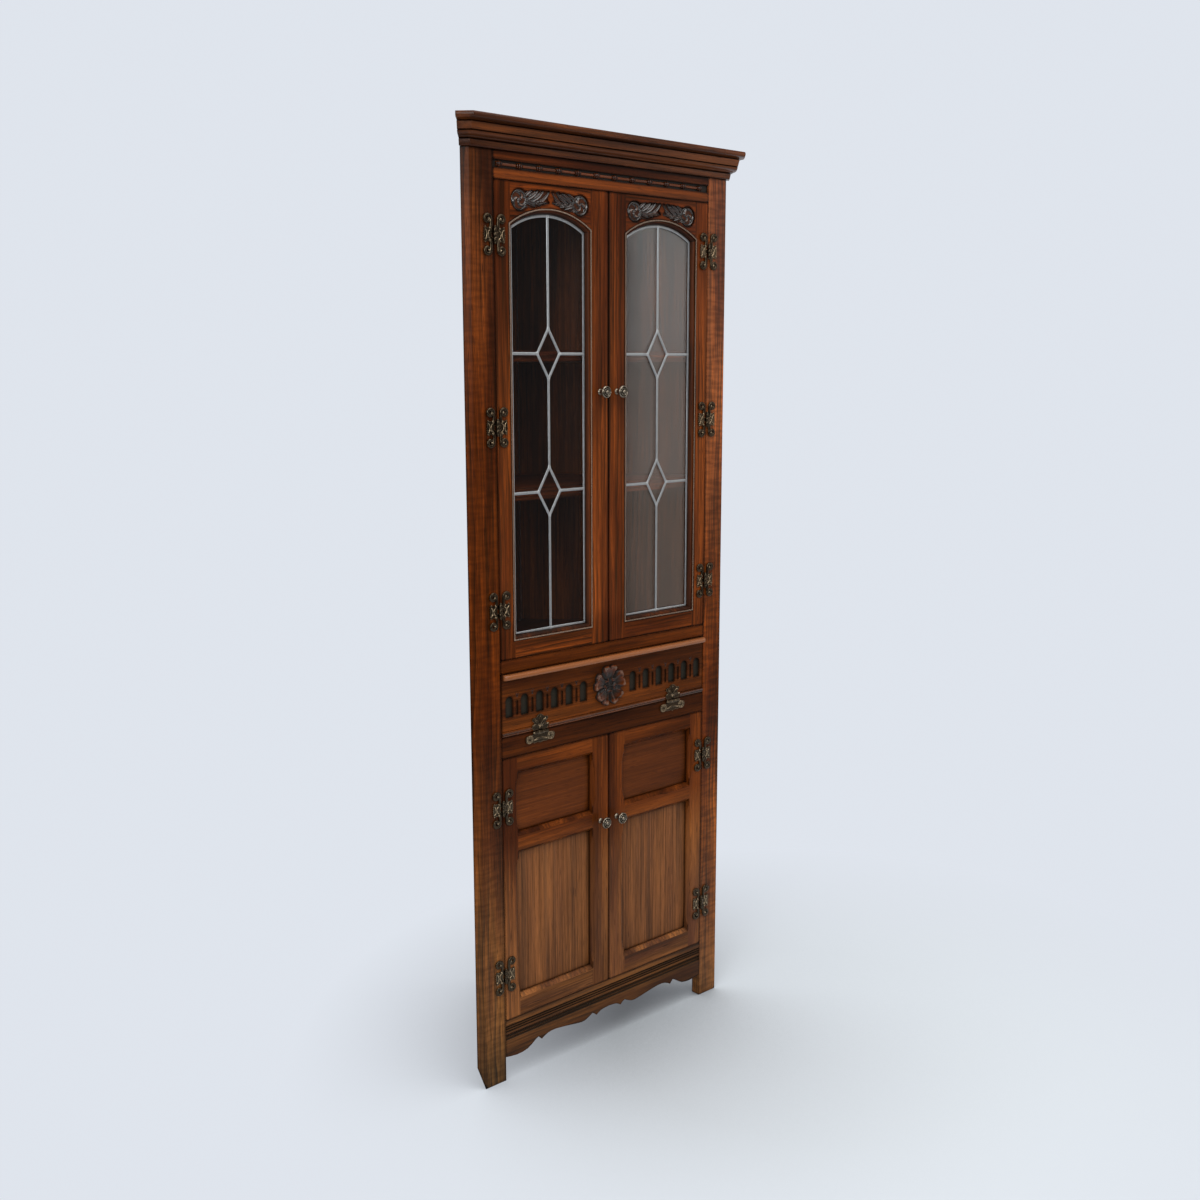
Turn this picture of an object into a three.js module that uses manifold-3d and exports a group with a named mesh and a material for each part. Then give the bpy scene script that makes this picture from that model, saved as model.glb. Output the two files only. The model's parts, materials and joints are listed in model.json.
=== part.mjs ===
// Corner display cupboard in stained oak, in millimetres, with +Z up.
// The front frame lies in the plane y = 0. The two wall lines meet behind it at a right angle.
import * as THREE from 'three';
import { mergeVertices } from 'three/addons/utils/BufferGeometryUtils.js';
import Module from 'manifold-3d';

const wasm = await Module();
wasm.setup();

// Front elevation, from the floor up
const plinthHeight = 126;
const cupboardDoorHeight = 538;
const cupboardRailHeight = 41;
const flapHeight = 125;
const displayRailHeight = 25;
const displayDoorHeight = 874;
const friezeHeight = 49;
const corniceHeight = 52;

// Plan
const faceHalfWidth = 324;
const stileWidth = 51;
const returnWidth = 16.3;
const frameThickness = 22;
const wallThickness = 9;
const cornerPostSide = 40;
const cornerEase = 6;
const scribeHeight = 45;

// Clearances
const jointGap = 0.3;
const doorGap = 1;
const meetingGap = 2;
const overrun = 1;

// Cornice moulding, as curves that each give a control point and an end point
const corniceProjection = 38.3;
const corniceBack = 12;
const corniceCurveShares = [
  [0.2, 0.02, 0.235, 0.23],
  [0.33, 0.24, 0.357, 0.28],
  [0.56, 0.31, 0.6, 0.44],
  [0.64, 0.55, 0.7, 0.73],
  [0.72, 0.79, 0.83, 0.79],
  [0.98, 0.79, 1, 0.9],
  [1, 0.98, 0.96, 1],
];

// Frieze rail
const friezeBandDrop = 16;
const friezeBandHeight = 14;
const friezeBandDepth = 4;

// Boards and shelves
const topBoardThickness = 12;
const shelfThickness = 22;
const lowerShelfRise = 297;
const upperShelfRise = 555;
const shelfGrooveSize = 2;
const shelfGrooveShares = [0.32, 0.68];
const compartmentWell = 42;
const compartmentFloorThickness = 12;
const cupboardShelfRise = 230;
const cupboardShelfThickness = 18;
const cupboardFloorThickness = 16;
const wallFootHeight = 95;

// Apron, with reeding above a shaped lower edge given as shares of half the rail and of the plinth
const reedBottom = 85;
const reedPitch = 5.8;
const reedCount = 5;
const reedGrooveSize = 2.6;
const apronCentreShares = [[0, 0.532], [0.077, 0.516], [0.125, 0.46]];
const apronNotchShares = [[0.125, 0.46], [0.145, 0.5], [0.168, 0.524]];
const apronLobeShares = [
  [0.168, 0.524], [0.22, 0.468], [0.275, 0.444], [0.396, 0.484], [0.531, 0.524], [0.608, 0.512],
  [0.667, 0.452],
];
const apronCuspShares = [[0.667, 0.452], [0.696, 0.516]];
const apronEndShares = [[0.696, 0.516], [0.722, 0.492], [0.8, 0.39], [0.9, 0.365], [1, 0.397]];
const apronDivisions = 2;

// Display doors
const doorThickness = 21;
const displayMeetingStile = 45;
const displayOuterStile = 35;
const displayBottomRail = 37;
const displayTopRail = 45;
const archRise = 30;
const archSegments = 14;
const mouldWidth = 6;
const mouldDepth = 9;
const mouldShares = [[0, 0.14], [0.28, 0.14], [0.62, 0.34], [0.88, 0.66], [1, 1]];
const glassLip = 2.7;
const glassRebate = 6;
const glassThickness = 3;

// Leaded lights
const cameWidth = 6;
const cameThickness = 2;
const cameShelfOffset = 4;
const diamondHalfWidth = 30.5;
const diamondHalfHeight = 52;

// Cupboard doors
const cupboardMeetingStile = 43;
const cupboardOuterStile = 37;
const cupboardTopRail = 36;
const upperPanelHeight = 119;
const cupboardMiddleRail = 42;
const cupboardBottomRail = 44;
const panelSetBack = 12;
const panelRebate = 6;
const panelThickness = 8;
const chamferSize = 7;
const chamferStopInset = 8;
const chamferStopLength = 22;
const chamferStopShares = [[0, 0], [0.25, 0.5], [0.45, 0.62], [0.7, 0.78], [1, 1]];

// Fall flap
const flapThickness = 20;
const nosingHeight = 11;
const nosingProjection = 15;
const nosingCorner = 9;
const beadRadius = 4;
const beadRise = 6;
const beadHingeBreak = 43;
const quirkSize = 1.6;
const nicheCount = 6;
const nicheFirst = 67;
const nichePitch = 37.2;
const nicheWidth = 18;
const nicheBottom = 38;
const nicheHeight = 41;
const nicheDepth = 5;
const nicheSegments = 6;

// Carved rose on the flap
const roseRadius = 42;
const roseRise = 61;
const roseEdge = 2.5;
const roseRelief = 7;
const rosePetals = 5;
const roseSteps = 30;
const roseNotchShare = 0.12;
const roseRingShares = [0.11, 0.2, 0.27, 0.4, 0.53, 0.62, 0.8, 1];
const roseBossShare = 0.22;
const roseInnerShare = 0.56;
const roseInnerFloorShare = 0.35;
const roseInnerSwellShares = [0.25, 0.3];
const roseOuterFloorShare = 0.1;
const roseOuterSwellShares = [0.2, 0.5];

// Scroll hinges, with the knuckles in front of the face
const axisOut = 4;
const leafThickness = 2.2;
const knuckleRadius = 3.6;
const pinRadius = 1.5;
const boreRadius = 2.1;
const finialLength = 2.4;
const roundSides = 8;
const neckReach = 8;
const doorKnuckleHalf = 12.5;
const flapKnuckleHalf = 17;
const middleKnuckleShare = 0.32;
const lobeRadius = 9.6;
const lobeReach = 15.4;
const lobeRise = 27;
const lobeEyeRadius = 3.2;
const lobeSteps = 8;
const lobeOpening = THREE.MathUtils.degToRad(76);
const leafNear = 6.4;
const leafFar = 24;
const leafBodyHalf = 12.5;
const leafWaistNear = 8.6;
const leafWaistFar = 21.8;
const leafWaistHalf = 16.5;
const displayHingeHeightShares = [0.11, 0.5, 0.89];
const cupboardHingeHeightShares = [0.18, 0.82];

// Flap hinges, as shares of a leaf's half length along the axis and of its reach from it
const flapHingeInset = 144;
const flapHingeOffset = faceHalfWidth - flapHingeInset;
const flapAxisDrop = 2;
const upperLeafHalf = 20;
const upperLeafReach = 35;
const upperLeafShares = [
  [0.84, 0.13], [0.98, 0.24], [0.94, 0.36], [0.74, 0.46], [0.72, 0.56], [0.95, 0.66], [0.9, 0.8],
  [0.6, 0.82], [0.42, 0.86], [0.24, 0.97], [0, 1],
];
const lowerLeafHalf = 36;
const lowerLeafReach = 22;
const lowerLeafShares = [
  [0.56, 0.2], [0.74, 0.2], [0.93, 0.26], [1, 0.52], [0.93, 0.82], [0.76, 0.93], [0.6, 0.84], [0.4, 0.95],
  [0.2, 0.9], [0, 1],
];

// Knobs
const knobHeadRadius = 11.8;
const knobProjection = 25;
const knobSides = 14;
const knobShares = [
  [0, 0], [0.62, 0], [0.6, 0.08], [0.36, 0.15], [0.3, 0.42], [0.55, 0.56], [1, 0.7], [0.98, 0.8],
  [0.74, 0.88], [0.56, 0.82], [0.4, 0.84], [0.36, 0.94], [0, 1],
];
const knobInset = 21;
const displayKnobRise = 498;
const cupboardKnobRise = 357;

// Quadrant stay that holds the flap level, and the guide that it slides through
const stayInset = 18;
const stayThickness = 2;
const stayRadius = 70;
const stayWidth = 6;
const staySteps = 16;
const stayFootWidth = 12;
const stayFootLength = 37;
const stayFootThickness = 2;
const stayFootRise = 46;
const stayStudRadius = 2;
const stayStudLength = 7;
const guideStandOff = 2;
const guideThickness = 3;
const guideClearance = 0.8;
const guideWall = 4;
const guideFootWidth = 12;
const guideHeight = 20;
const flapOpening = THREE.MathUtils.degToRad(90);
const stopMargin = 0.6;

// Heights that follow from the stack
const cupboardTop = plinthHeight + cupboardDoorHeight;
const flapBottom = cupboardTop + cupboardRailHeight;
const flapTop = flapBottom + flapHeight;
const displayBottom = flapTop + displayRailHeight;
const displayTop = displayBottom + displayDoorHeight;
const corniceBase = displayTop + friezeHeight;

// Plan places that follow: a point on a wall line has |x| + y equal to its reach
const stileInner = faceHalfWidth - stileWidth;
const wallReach = faceHalfWidth + returnWidth * Math.SQRT2;
const wallInnerReach = wallReach - wallThickness * Math.SQRT2;
const boardReach = wallInnerReach - jointGap * Math.SQRT2;
const behindFrame = frameThickness + jointGap;
const cornerFront = wallReach - cornerPostSide * Math.SQRT2;
const cornerFrontClear = cornerFront - jointGap * Math.SQRT2;
const doorBack = doorThickness + jointGap;
const railHalf = stileInner - jointGap;
const doorInner = meetingGap / 2;
const doorOuter = stileInner - doorGap;
const flapAxisHeight = flapBottom - flapAxisDrop;

const mergeTolerance = 1e-4;
const elevationTurn = new THREE.Matrix4().set(1, 0, 0, 0, 0, 0, -1, 0, 0, 1, 0, 0, 0, 0, 0, 1);
const sectionTurn = new THREE.Matrix4().set(0, 0, 1, 0, 1, 0, 0, 0, 0, 1, 0, 0, 0, 0, 0, 1);

// Outlines and simple solids

function outlineOf(points) {
  return new THREE.Shape(points.map(([across, along]) => new THREE.Vector2(across, along)));
}

function extrude(outline, depth, curveSegments) {
  const shape = Array.isArray(outline) ? outlineOf(outline) : outline;
  return new THREE.ExtrudeGeometry(shape, { depth, curveSegments, bevelEnabled: false });
}

// A plan outline, in x and y, drawn up from one height to another
function extrudeUp(outline, low, high, curveSegments = 1) {
  return extrude(outline, high - low, curveSegments).translate(0, 0, low);
}

// An elevation outline, in x and z, drawn back from one depth to another
function extrudeBack(outline, front, back, curveSegments = 1) {
  return extrude(outline, back - front, curveSegments).applyMatrix4(elevationTurn).translate(0, back, 0);
}

// A section outline, in y and z, drawn across from left to right
function extrudeAcross(outline, left, right, curveSegments = 1) {
  return extrude(outline, right - left, curveSegments).applyMatrix4(sectionTurn).translate(left, 0, 0);
}

function block(left, right, front, back, low, high) {
  const box = new THREE.BoxGeometry(right - left, back - front, high - low);
  return box.translate((left + right) / 2, (front + back) / 2, (low + high) / 2);
}

// A round bar standing at x and y between two heights
function post(x, y, low, high, radius, topRadius = radius) {
  const bar = new THREE.CylinderGeometry(topRadius, radius, high - low, roundSides);
  return bar.applyMatrix4(elevationTurn).translate(x, y, (low + high) / 2);
}

// A closed solid through rings that hold equal numbers of points, with flat ends
function loft(rings) {
  const count = rings[0].length;
  const positions = rings.flat(2);
  const index = [];
  for (let ring = 0; ring + 1 < rings.length; ring += 1) {
    for (let step = 0; step < count; step += 1) {
      const next = (step + 1) % count;
      const [a, b, c, d] = [step, next, count + next, count + step].map((corner) => ring * count + corner);
      index.push(a, b, c, a, c, d);
    }
  }
  const last = (rings.length - 1) * count;
  for (const [a, b, c] of endTriangles(rings[0])) {
    index.push(a, c, b, last + a, last + b, last + c);
  }
  const geometry = new THREE.BufferGeometry();
  geometry.setAttribute('position', new THREE.Float32BufferAttribute(positions, 3));
  geometry.setIndex(index);
  return facingOut(geometry);
}

// Triangles over one flat ring, found in the plane that it spans most widely
function endTriangles(ring) {
  const spans = [0, 1, 2].map((axis) => {
    const values = ring.map((point) => point[axis]);
    return Math.max(...values) - Math.min(...values);
  });
  const thin = spans.indexOf(Math.min(...spans));
  const [first, second] = [0, 1, 2].filter((axis) => axis !== thin);
  const flat = ring.map((point) => new THREE.Vector2(point[first], point[second]));
  const turned = THREE.ShapeUtils.isClockWise(flat);
  const order = flat.map((_, place) => (turned ? flat.length - 1 - place : place));
  const faces = THREE.ShapeUtils.triangulateShape(order.map((place) => flat[place]), []);
  const faced = faces.map((face) => face.map((corner) => order[corner]));
  const level = ringTurn(ring, first, second);
  return level > 0 ? faced : faced.map(([a, b, c]) => [a, c, b]);
}

function ringTurn(ring, first, second) {
  let area = 0;
  ring.forEach((point, place) => {
    const next = ring[(place + 1) % ring.length];
    area += point[first] * next[second] - next[first] * point[second];
  });
  return area;
}

function volumeOf(geometry) {
  const { position } = geometry.attributes;
  const corners = [0, 1, 2].map(() => new THREE.Vector3());
  let volume = 0;
  for (let face = 0; face < geometry.index.count; face += 3) {
    corners.forEach((corner, side) => {
      corner.fromBufferAttribute(position, geometry.index.getX(face + side));
    });
    volume += corners[0].dot(corners[1].clone().cross(corners[2]));
  }
  return volume;
}

function turnedOver(geometry) {
  const index = Array.from(geometry.index.array);
  for (let face = 0; face < index.length; face += 3) {
    [index[face + 1], index[face + 2]] = [index[face + 2], index[face + 1]];
  }
  geometry.setIndex(index);
  return geometry;
}

function facingOut(geometry) {
  return volumeOf(geometry) < 0 ? turnedOver(geometry) : geometry;
}

// Joining and cutting

function merged(geometry) {
  const bare = geometry.clone();
  bare.deleteAttribute('normal');
  bare.deleteAttribute('uv');
  const welded = mergeVertices(bare, mergeTolerance);
  const index = Array.from(welded.index.array);
  const kept = [];
  for (let face = 0; face < index.length; face += 3) {
    const [a, b, c] = index.slice(face, face + 3);
    if (a !== b && b !== c && c !== a) kept.push(a, b, c);
  }
  welded.setIndex(kept);
  return welded;
}

function solidOf(geometry) {
  const welded = merged(geometry);
  const vertProperties = new Float32Array(welded.attributes.position.array);
  const triVerts = new Uint32Array(welded.index.array);
  return new wasm.Manifold(new wasm.Mesh({ numProp: 3, vertProperties, triVerts }));
}

function geometryOf(solid) {
  const mesh = solid.getMesh();
  const geometry = new THREE.BufferGeometry();
  geometry.setAttribute('position', new THREE.BufferAttribute(new Float32Array(mesh.vertProperties), 3));
  geometry.setIndex(new THREE.BufferAttribute(new Uint32Array(mesh.triVerts), 1));
  return geometry;
}

function join(...geometries) {
  return geometryOf(geometries.map(solidOf).reduce((whole, piece) => whole.add(piece)));
}

function cut(geometry, ...tools) {
  return geometryOf(tools.map(solidOf).reduce((rest, tool) => rest.subtract(tool), solidOf(geometry)));
}

function overlapOf(geometry, other) {
  return geometryOf(solidOf(geometry).intersect(solidOf(other)));
}

// The same piece on the other side of the cupboard's middle plane
function mirrored(geometry) {
  return turnedOver(merged(geometry).scale(-1, 1, 1));
}

// Carcass

function frontPost() {
  const returnRun = returnWidth / Math.SQRT2;
  const plan = [
    [stileInner, 0],
    [faceHalfWidth, 0],
    [faceHalfWidth + returnRun, returnRun],
    [wallReach - frameThickness, frameThickness],
    [stileInner, frameThickness],
  ];
  return cut(extrudeUp(plan, 0, corniceBase), skirtingScribe());
}

// The wedge taken off the foot of the canted return to clear a skirting board
function skirtingScribe() {
  const slope = scribeHeight / returnWidth;
  const far = returnWidth + overrun;
  const depth = frameThickness * 2;
  const outline = [[-overrun, -overrun * slope], [far, -overrun * slope], [far, far * slope]];
  const wedge = extrude(outline, depth, 1);
  const alongReturn = new THREE.Vector3(1, 1, 0).normalize();
  const acrossReturn = new THREE.Vector3(1, -1, 0).normalize();
  const place = new THREE.Matrix4().makeBasis(alongReturn, new THREE.Vector3(0, 0, 1), acrossReturn);
  return wedge.translate(0, 0, overrun - depth).applyMatrix4(place).translate(faceHalfWidth, 0, 0);
}

function wallPanel() {
  const near = behindFrame;
  const endShift = jointGap / Math.SQRT2;
  const outerEnd = (wallReach - cornerFront) / 2 + endShift;
  const innerEnd = (wallInnerReach - cornerFront) / 2 + endShift;
  const plan = [
    [wallReach - near, near],
    [outerEnd, wallReach - outerEnd],
    [innerEnd, wallInnerReach - innerEnd],
    [wallInnerReach - near, near],
  ];
  return extrudeUp(plan, wallFootHeight, corniceBase);
}

function cornerPost() {
  const half = cornerPostSide / Math.SQRT2;
  const plan = [
    [0, cornerFront],
    [half, wallReach - half],
    [cornerEase, wallReach - cornerEase],
    [-cornerEase, wallReach - cornerEase],
    [-half, wallReach - half],
  ];
  return extrudeUp(plan, 0, corniceBase);
}

// A board that fills the corner, with its front edge between the posts where it comes forward
function cornerBoard(front, low, high) {
  const turn = (boardReach - cornerFrontClear) / 2;
  const right = [
    [boardReach - behindFrame, behindFrame],
    [turn, boardReach - turn],
  ];
  if (front < behindFrame) right.unshift([railHalf, front], [railHalf, behindFrame]);
  const left = right.map(([x, y]) => [-x, y]).reverse();
  return extrudeUp([...right, [0, cornerFrontClear], ...left], low, high);
}

function shelf(low) {
  const board = cornerBoard(doorBack, low, low + shelfThickness);
  const grooves = shelfGrooveShares.map((share) => {
    const middle = low + shelfThickness * share;
    return veeGroove(doorBack, middle, shelfGrooveSize);
  });
  return cut(board, ...grooves);
}

// A cutter for a V groove that runs across a face at a given depth and height
function veeGroove(face, middle, size) {
  const mouth = size / 2 + overrun / 2;
  const mouthDepth = face - overrun;
  const section = [[mouthDepth, middle - mouth], [face + size / 2, middle], [mouthDepth, middle + mouth]];
  return extrudeAcross(section, -faceHalfWidth, faceHalfWidth);
}

function topBoard() {
  const front = (returnWidth + corniceBack) / Math.SQRT2 + jointGap;
  const end = wallReach - cornerEase;
  const half = wallReach - front;
  const plan = [[half, front], [cornerEase, end], [-cornerEase, end], [-half, front]];
  return extrudeUp(plan, corniceBase + jointGap, corniceBase + jointGap + topBoardThickness);
}

function railBlock(low, high) {
  return block(-railHalf, railHalf, 0, frameThickness, low, high);
}

function friezeRail() {
  const bandTop = corniceBase - friezeBandDrop;
  const bandBottom = bandTop - friezeBandHeight;
  const band = block(-stileInner, stileInner, -overrun, friezeBandDepth, bandBottom, bandTop);
  return cut(railBlock(displayTop, corniceBase), band);
}

function apronEdge() {
  const place = ([across, up]) => new THREE.Vector2(across * railHalf, up * plinthHeight);
  const runs = [apronCentreShares, apronNotchShares, apronLobeShares, apronCuspShares, apronEndShares];
  const points = runs.flatMap((run) => {
    const curve = new THREE.SplineCurve(run.map(place));
    return curve.getPoints((run.length - 1) * apronDivisions).slice(0, -1);
  });
  return [...points, place(apronEndShares.at(-1))];
}

function bottomRail() {
  const right = apronEdge().map((point) => [point.x, point.y]);
  const left = right.slice(1).map(([x, z]) => [-x, z]).reverse();
  const outline = [...left, ...right, [railHalf, plinthHeight], [-railHalf, plinthHeight]];
  const grooves = Array.from({ length: reedCount + 1 }, (_, reed) => {
    return veeGroove(0, reedBottom + reed * reedPitch, reedGrooveSize);
  });
  return cut(extrudeBack(outline, 0, frameThickness), ...grooves);
}

function corniceSection() {
  const path = new THREE.Path();
  path.moveTo(-corniceBack, corniceHeight);
  path.lineTo(-corniceBack, jointGap);
  path.lineTo(0, jointGap);
  for (const [controlOut, controlUp, endOut, endUp] of corniceCurveShares) {
    const control = [controlOut * corniceProjection, jointGap + controlUp * (corniceHeight - jointGap)];
    const end = [endOut * corniceProjection, jointGap + endUp * (corniceHeight - jointGap)];
    path.quadraticCurveTo(...control, ...end);
  }
  return path.getPoints(3).map((point) => [point.x, point.y]);
}

// The moulding swept round the front and both canted returns, with mitred corners
function cornice() {
  const mitre = Math.tan(Math.PI / 8);
  const run = returnWidth / Math.SQRT2;
  const section = corniceSection();
  const cornerRing = section.map(([out, up]) => [faceHalfWidth + out * mitre, -out, corniceBase + up]);
  const endRing = section.map(([out, up]) => {
    const slant = out / Math.SQRT2;
    return [faceHalfWidth + slant + run, run - slant, corniceBase + up];
  });
  const leftRings = [endRing, cornerRing].map((ring) => ring.map(([x, y, z]) => [-x, y, z]));
  return loft([...leftRings, cornerRing, endRing]);
}

// Display doors

const displayLow = displayBottom + doorGap;
const displayHigh = displayTop - doorGap;
const lightLeft = doorInner + displayMeetingStile;
const lightRight = doorOuter - displayOuterStile;
const lightHalf = (lightRight - lightLeft) / 2;
const lightMiddle = (lightLeft + lightRight) / 2;
const lightBottom = displayLow + displayBottomRail;
const lightCrown = displayHigh - displayTopRail;
const archRadius = (lightHalf ** 2 + archRise ** 2) / (2 * archRise);

// The arched opening, drawn in from its edge by an inset
function archedPoints(inset) {
  const half = lightHalf - inset;
  const radius = archRadius - inset;
  const centre = lightCrown - archRadius;
  const start = Math.acos(half / radius);
  const points = [[lightMiddle - half, lightBottom + inset], [lightMiddle + half, lightBottom + inset]];
  for (let step = 0; step <= archSegments; step += 1) {
    const angle = start + (Math.PI - 2 * start) * (step / archSegments);
    points.push([lightMiddle + radius * Math.cos(angle), centre + radius * Math.sin(angle)]);
  }
  return points;
}

function displayFrame() {
  const outer = block(doorInner, doorOuter, 0, doorThickness, displayLow, displayHigh);
  const sight = extrudeBack(archedPoints(mouldWidth), -overrun, doorThickness + overrun);
  const shoulder = mouldDepth + glassLip;
  const rebate = extrudeBack(archedPoints(mouldWidth - glassRebate), shoulder, doorThickness + overrun);
  const depths = [[0, -overrun / mouldDepth], ...mouldShares];
  const rings = depths.map(([width, depth]) => {
    return archedPoints(width * mouldWidth).map(([x, z]) => [x, depth * mouldDepth, z]);
  });
  return cut(outer, sight, rebate, loft(rings));
}

function glassPane() {
  const front = mouldDepth + glassLip + jointGap;
  return extrudeBack(archedPoints(mouldWidth - glassRebate + jointGap), front, front + glassThickness);
}

function rhombus(height, halfWidth, halfHeight) {
  return [
    [lightMiddle - halfWidth, height],
    [lightMiddle, height - halfHeight],
    [lightMiddle + halfWidth, height],
    [lightMiddle, height + halfHeight],
  ];
}

// The lead lattice in front of the pane: an edge came, one upright, two bars and two diamonds
function leadCames() {
  const back = mouldDepth + glassLip;
  const front = back - cameThickness;
  const edge = mouldWidth + jointGap;
  const draw = (outline) => extrudeBack(outline, front, back);
  const bar = (left, right, low, high) => block(left, right, front, back, low, high);
  const punch = (outline) => extrudeBack(outline, front - overrun, back + overrun);
  const rim = cut(draw(archedPoints(edge)), punch(archedPoints(edge + cameWidth)));
  const half = cameWidth / 2;
  const side = lightHalf - edge - half;
  const heights = [lowerShelfRise, upperShelfRise].map((rise) => {
    return displayBottom + rise + shelfThickness / 2 + cameShelfOffset;
  });
  const [low, high] = [lightBottom + edge + half, lightCrown - edge - half];
  const upright = bar(lightMiddle - half, lightMiddle + half, low, high);
  const level = heights.map((height) => {
    return bar(lightMiddle - side, lightMiddle + side, height - half, height + half);
  });
  const slant = Math.hypot(diamondHalfWidth, diamondHalfHeight);
  const innerWidth = diamondHalfWidth - cameWidth * slant / diamondHalfHeight;
  const innerHeight = diamondHalfHeight - cameWidth * slant / diamondHalfWidth;
  const diamonds = heights.map((height) => draw(rhombus(height, diamondHalfWidth, diamondHalfHeight)));
  const eyes = heights.map((height) => punch(rhombus(height, innerWidth, innerHeight)));
  return cut(join(rim, upright, ...level, ...diamonds), ...eyes);
}

// Cupboard doors

const cupboardLow = plinthHeight + doorGap;
const cupboardHigh = cupboardTop - doorGap;
const panelLeft = doorInner + cupboardMeetingStile;
const panelRight = doorOuter - cupboardOuterStile;
const upperPanelTop = cupboardHigh - cupboardTopRail;
const upperPanelBottom = upperPanelTop - upperPanelHeight;
const lowerPanelTop = upperPanelBottom - cupboardMiddleRail;
const lowerPanelBottom = cupboardLow + cupboardBottomRail;
const panelOpenings = [[upperPanelBottom, upperPanelTop], [lowerPanelBottom, lowerPanelTop]];

// A cutter for a chamfer that fades out at both ends, along an upright edge with wood on one side
function stoppedChamfer(edge, side, low, high) {
  const stops = chamferStopShares.map(([along, depth]) => [along * chamferStopLength, depth * chamferSize]);
  const start = low + chamferStopInset;
  const end = high - chamferStopInset;
  const stations = [
    ...stops.map(([along, size]) => [start + along, size]),
    ...stops.map(([along, size]) => [end - along, size]).reverse(),
  ];
  return loft(stations.map(([height, size]) => [
    [edge - side * overrun, -overrun, height],
    [edge + side * (size + overrun), -overrun, height],
    [edge - side * overrun, size + overrun, height],
  ]));
}

// A cutter for a full chamfer along a level edge with wood above it or below it
function levelChamfer(edge, side) {
  const section = [
    [-overrun, edge - side * overrun],
    [-overrun, edge + side * (chamferSize + overrun)],
    [chamferSize + overrun, edge - side * overrun],
  ];
  return extrudeAcross(section, panelLeft, panelRight);
}

function cupboardFrame() {
  const outer = block(doorInner, doorOuter, 0, doorThickness, cupboardLow, cupboardHigh);
  const tools = panelOpenings.flatMap(([low, high]) => [
    block(panelLeft, panelRight, -overrun, doorThickness + overrun, low, high),
    block(panelLeft - panelRebate, panelRight + panelRebate, panelSetBack, doorThickness + overrun,
      low - panelRebate, high + panelRebate),
    stoppedChamfer(panelLeft, -1, low, high),
    stoppedChamfer(panelRight, 1, low, high),
    levelChamfer(low, -1),
    levelChamfer(high, 1),
  ]);
  return cut(outer, ...tools);
}

function doorPanel([low, high]) {
  const reach = panelRebate - jointGap;
  const front = panelSetBack + jointGap;
  const back = front + panelThickness;
  return block(panelLeft - reach, panelRight + reach, front, back, low - reach, high + reach);
}

// Fall flap

function arcadeNiches() {
  const half = nicheWidth / 2;
  const bottom = flapBottom + nicheBottom;
  const spring = bottom + nicheHeight - half;
  const niche = (middle) => {
    const shape = new THREE.Shape();
    shape.moveTo(middle - half, bottom);
    shape.lineTo(middle + half, bottom);
    shape.lineTo(middle + half, spring);
    shape.absarc(middle, spring, half, 0, Math.PI, false);
    return extrudeBack(shape, -overrun, nicheDepth, nicheSegments);
  };
  return [-1, 1].flatMap((side) => {
    return Array.from({ length: nicheCount }, (_, place) => {
      return niche(side * (nicheFirst + place * nichePitch));
    });
  });
}

// The rounded lip along the flap's top edge, with softened corners in plan
function flapNosing() {
  const half = nosingHeight / 2;
  const top = flapTop - doorGap;
  const section = new THREE.Shape();
  section.moveTo(overrun, top - nosingHeight);
  section.lineTo(overrun, top);
  section.lineTo(half - nosingProjection, top);
  section.absarc(half - nosingProjection, top - half, half, Math.PI / 2, Math.PI * 3 / 2, false);
  const plan = new THREE.Shape();
  const inner = doorOuter - nosingCorner;
  plan.moveTo(-doorOuter, overrun);
  plan.absarc(-inner, nosingCorner - nosingProjection, nosingCorner, Math.PI, Math.PI * 3 / 2, false);
  plan.absarc(inner, nosingCorner - nosingProjection, nosingCorner, Math.PI * 3 / 2, Math.PI * 2, false);
  plan.lineTo(doorOuter, overrun);
  const bar = extrudeAcross(section, -doorOuter, doorOuter, nicheSegments);
  return overlapOf(bar, extrudeUp(plan, top - nosingHeight - overrun, top + overrun, nicheSegments / 2));
}

// The half round bead above the flap's lower edge, broken where the hinges lie
function flapBeads() {
  const breakHalf = beadHingeBreak / 2;
  const inner = flapHingeOffset - breakHalf;
  const outer = flapHingeOffset + breakHalf;
  const runs = [[-doorOuter, -outer], [-inner, inner], [outer, doorOuter]];
  const section = new THREE.Shape();
  const middle = flapBottom + beadRise;
  section.moveTo(overrun, middle - beadRadius);
  section.lineTo(overrun, middle + beadRadius);
  section.absarc(0, middle, beadRadius, Math.PI / 2, Math.PI * 3 / 2, false);
  return runs.map(([left, right]) => extrudeAcross(section, left, right, nicheSegments));
}

function flapBoard() {
  const board = block(-doorOuter, doorOuter, 0, flapThickness, flapBottom + doorGap, flapTop - doorGap);
  const quirk = veeGroove(0, flapBottom + beadRise + beadRadius + quirkSize, quirkSize);
  return cut(join(board, flapNosing(), ...flapBeads()), quirk, ...arcadeNiches());
}

// Height of the carved rose over its edge, at a share of its radius and an angle
function roseHeight(share, angle) {
  const petal = Math.abs(Math.sin(angle * rosePetals / 2));
  const innerPetal = Math.abs(Math.cos(angle * rosePetals / 2));
  if (share < roseBossShare) return Math.sqrt(1 - (share / roseBossShare) ** 2 / 2);
  const swell = (low, high, [even, lobed], lobe) => {
    return Math.sin(Math.PI * (share - low) / (high - low)) * (even + lobed * lobe);
  };
  if (share < roseInnerShare) {
    return roseInnerFloorShare + swell(roseBossShare, roseInnerShare, roseInnerSwellShares, innerPetal);
  }
  return roseOuterFloorShare + swell(roseInnerShare, 1, roseOuterSwellShares, petal);
}

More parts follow.
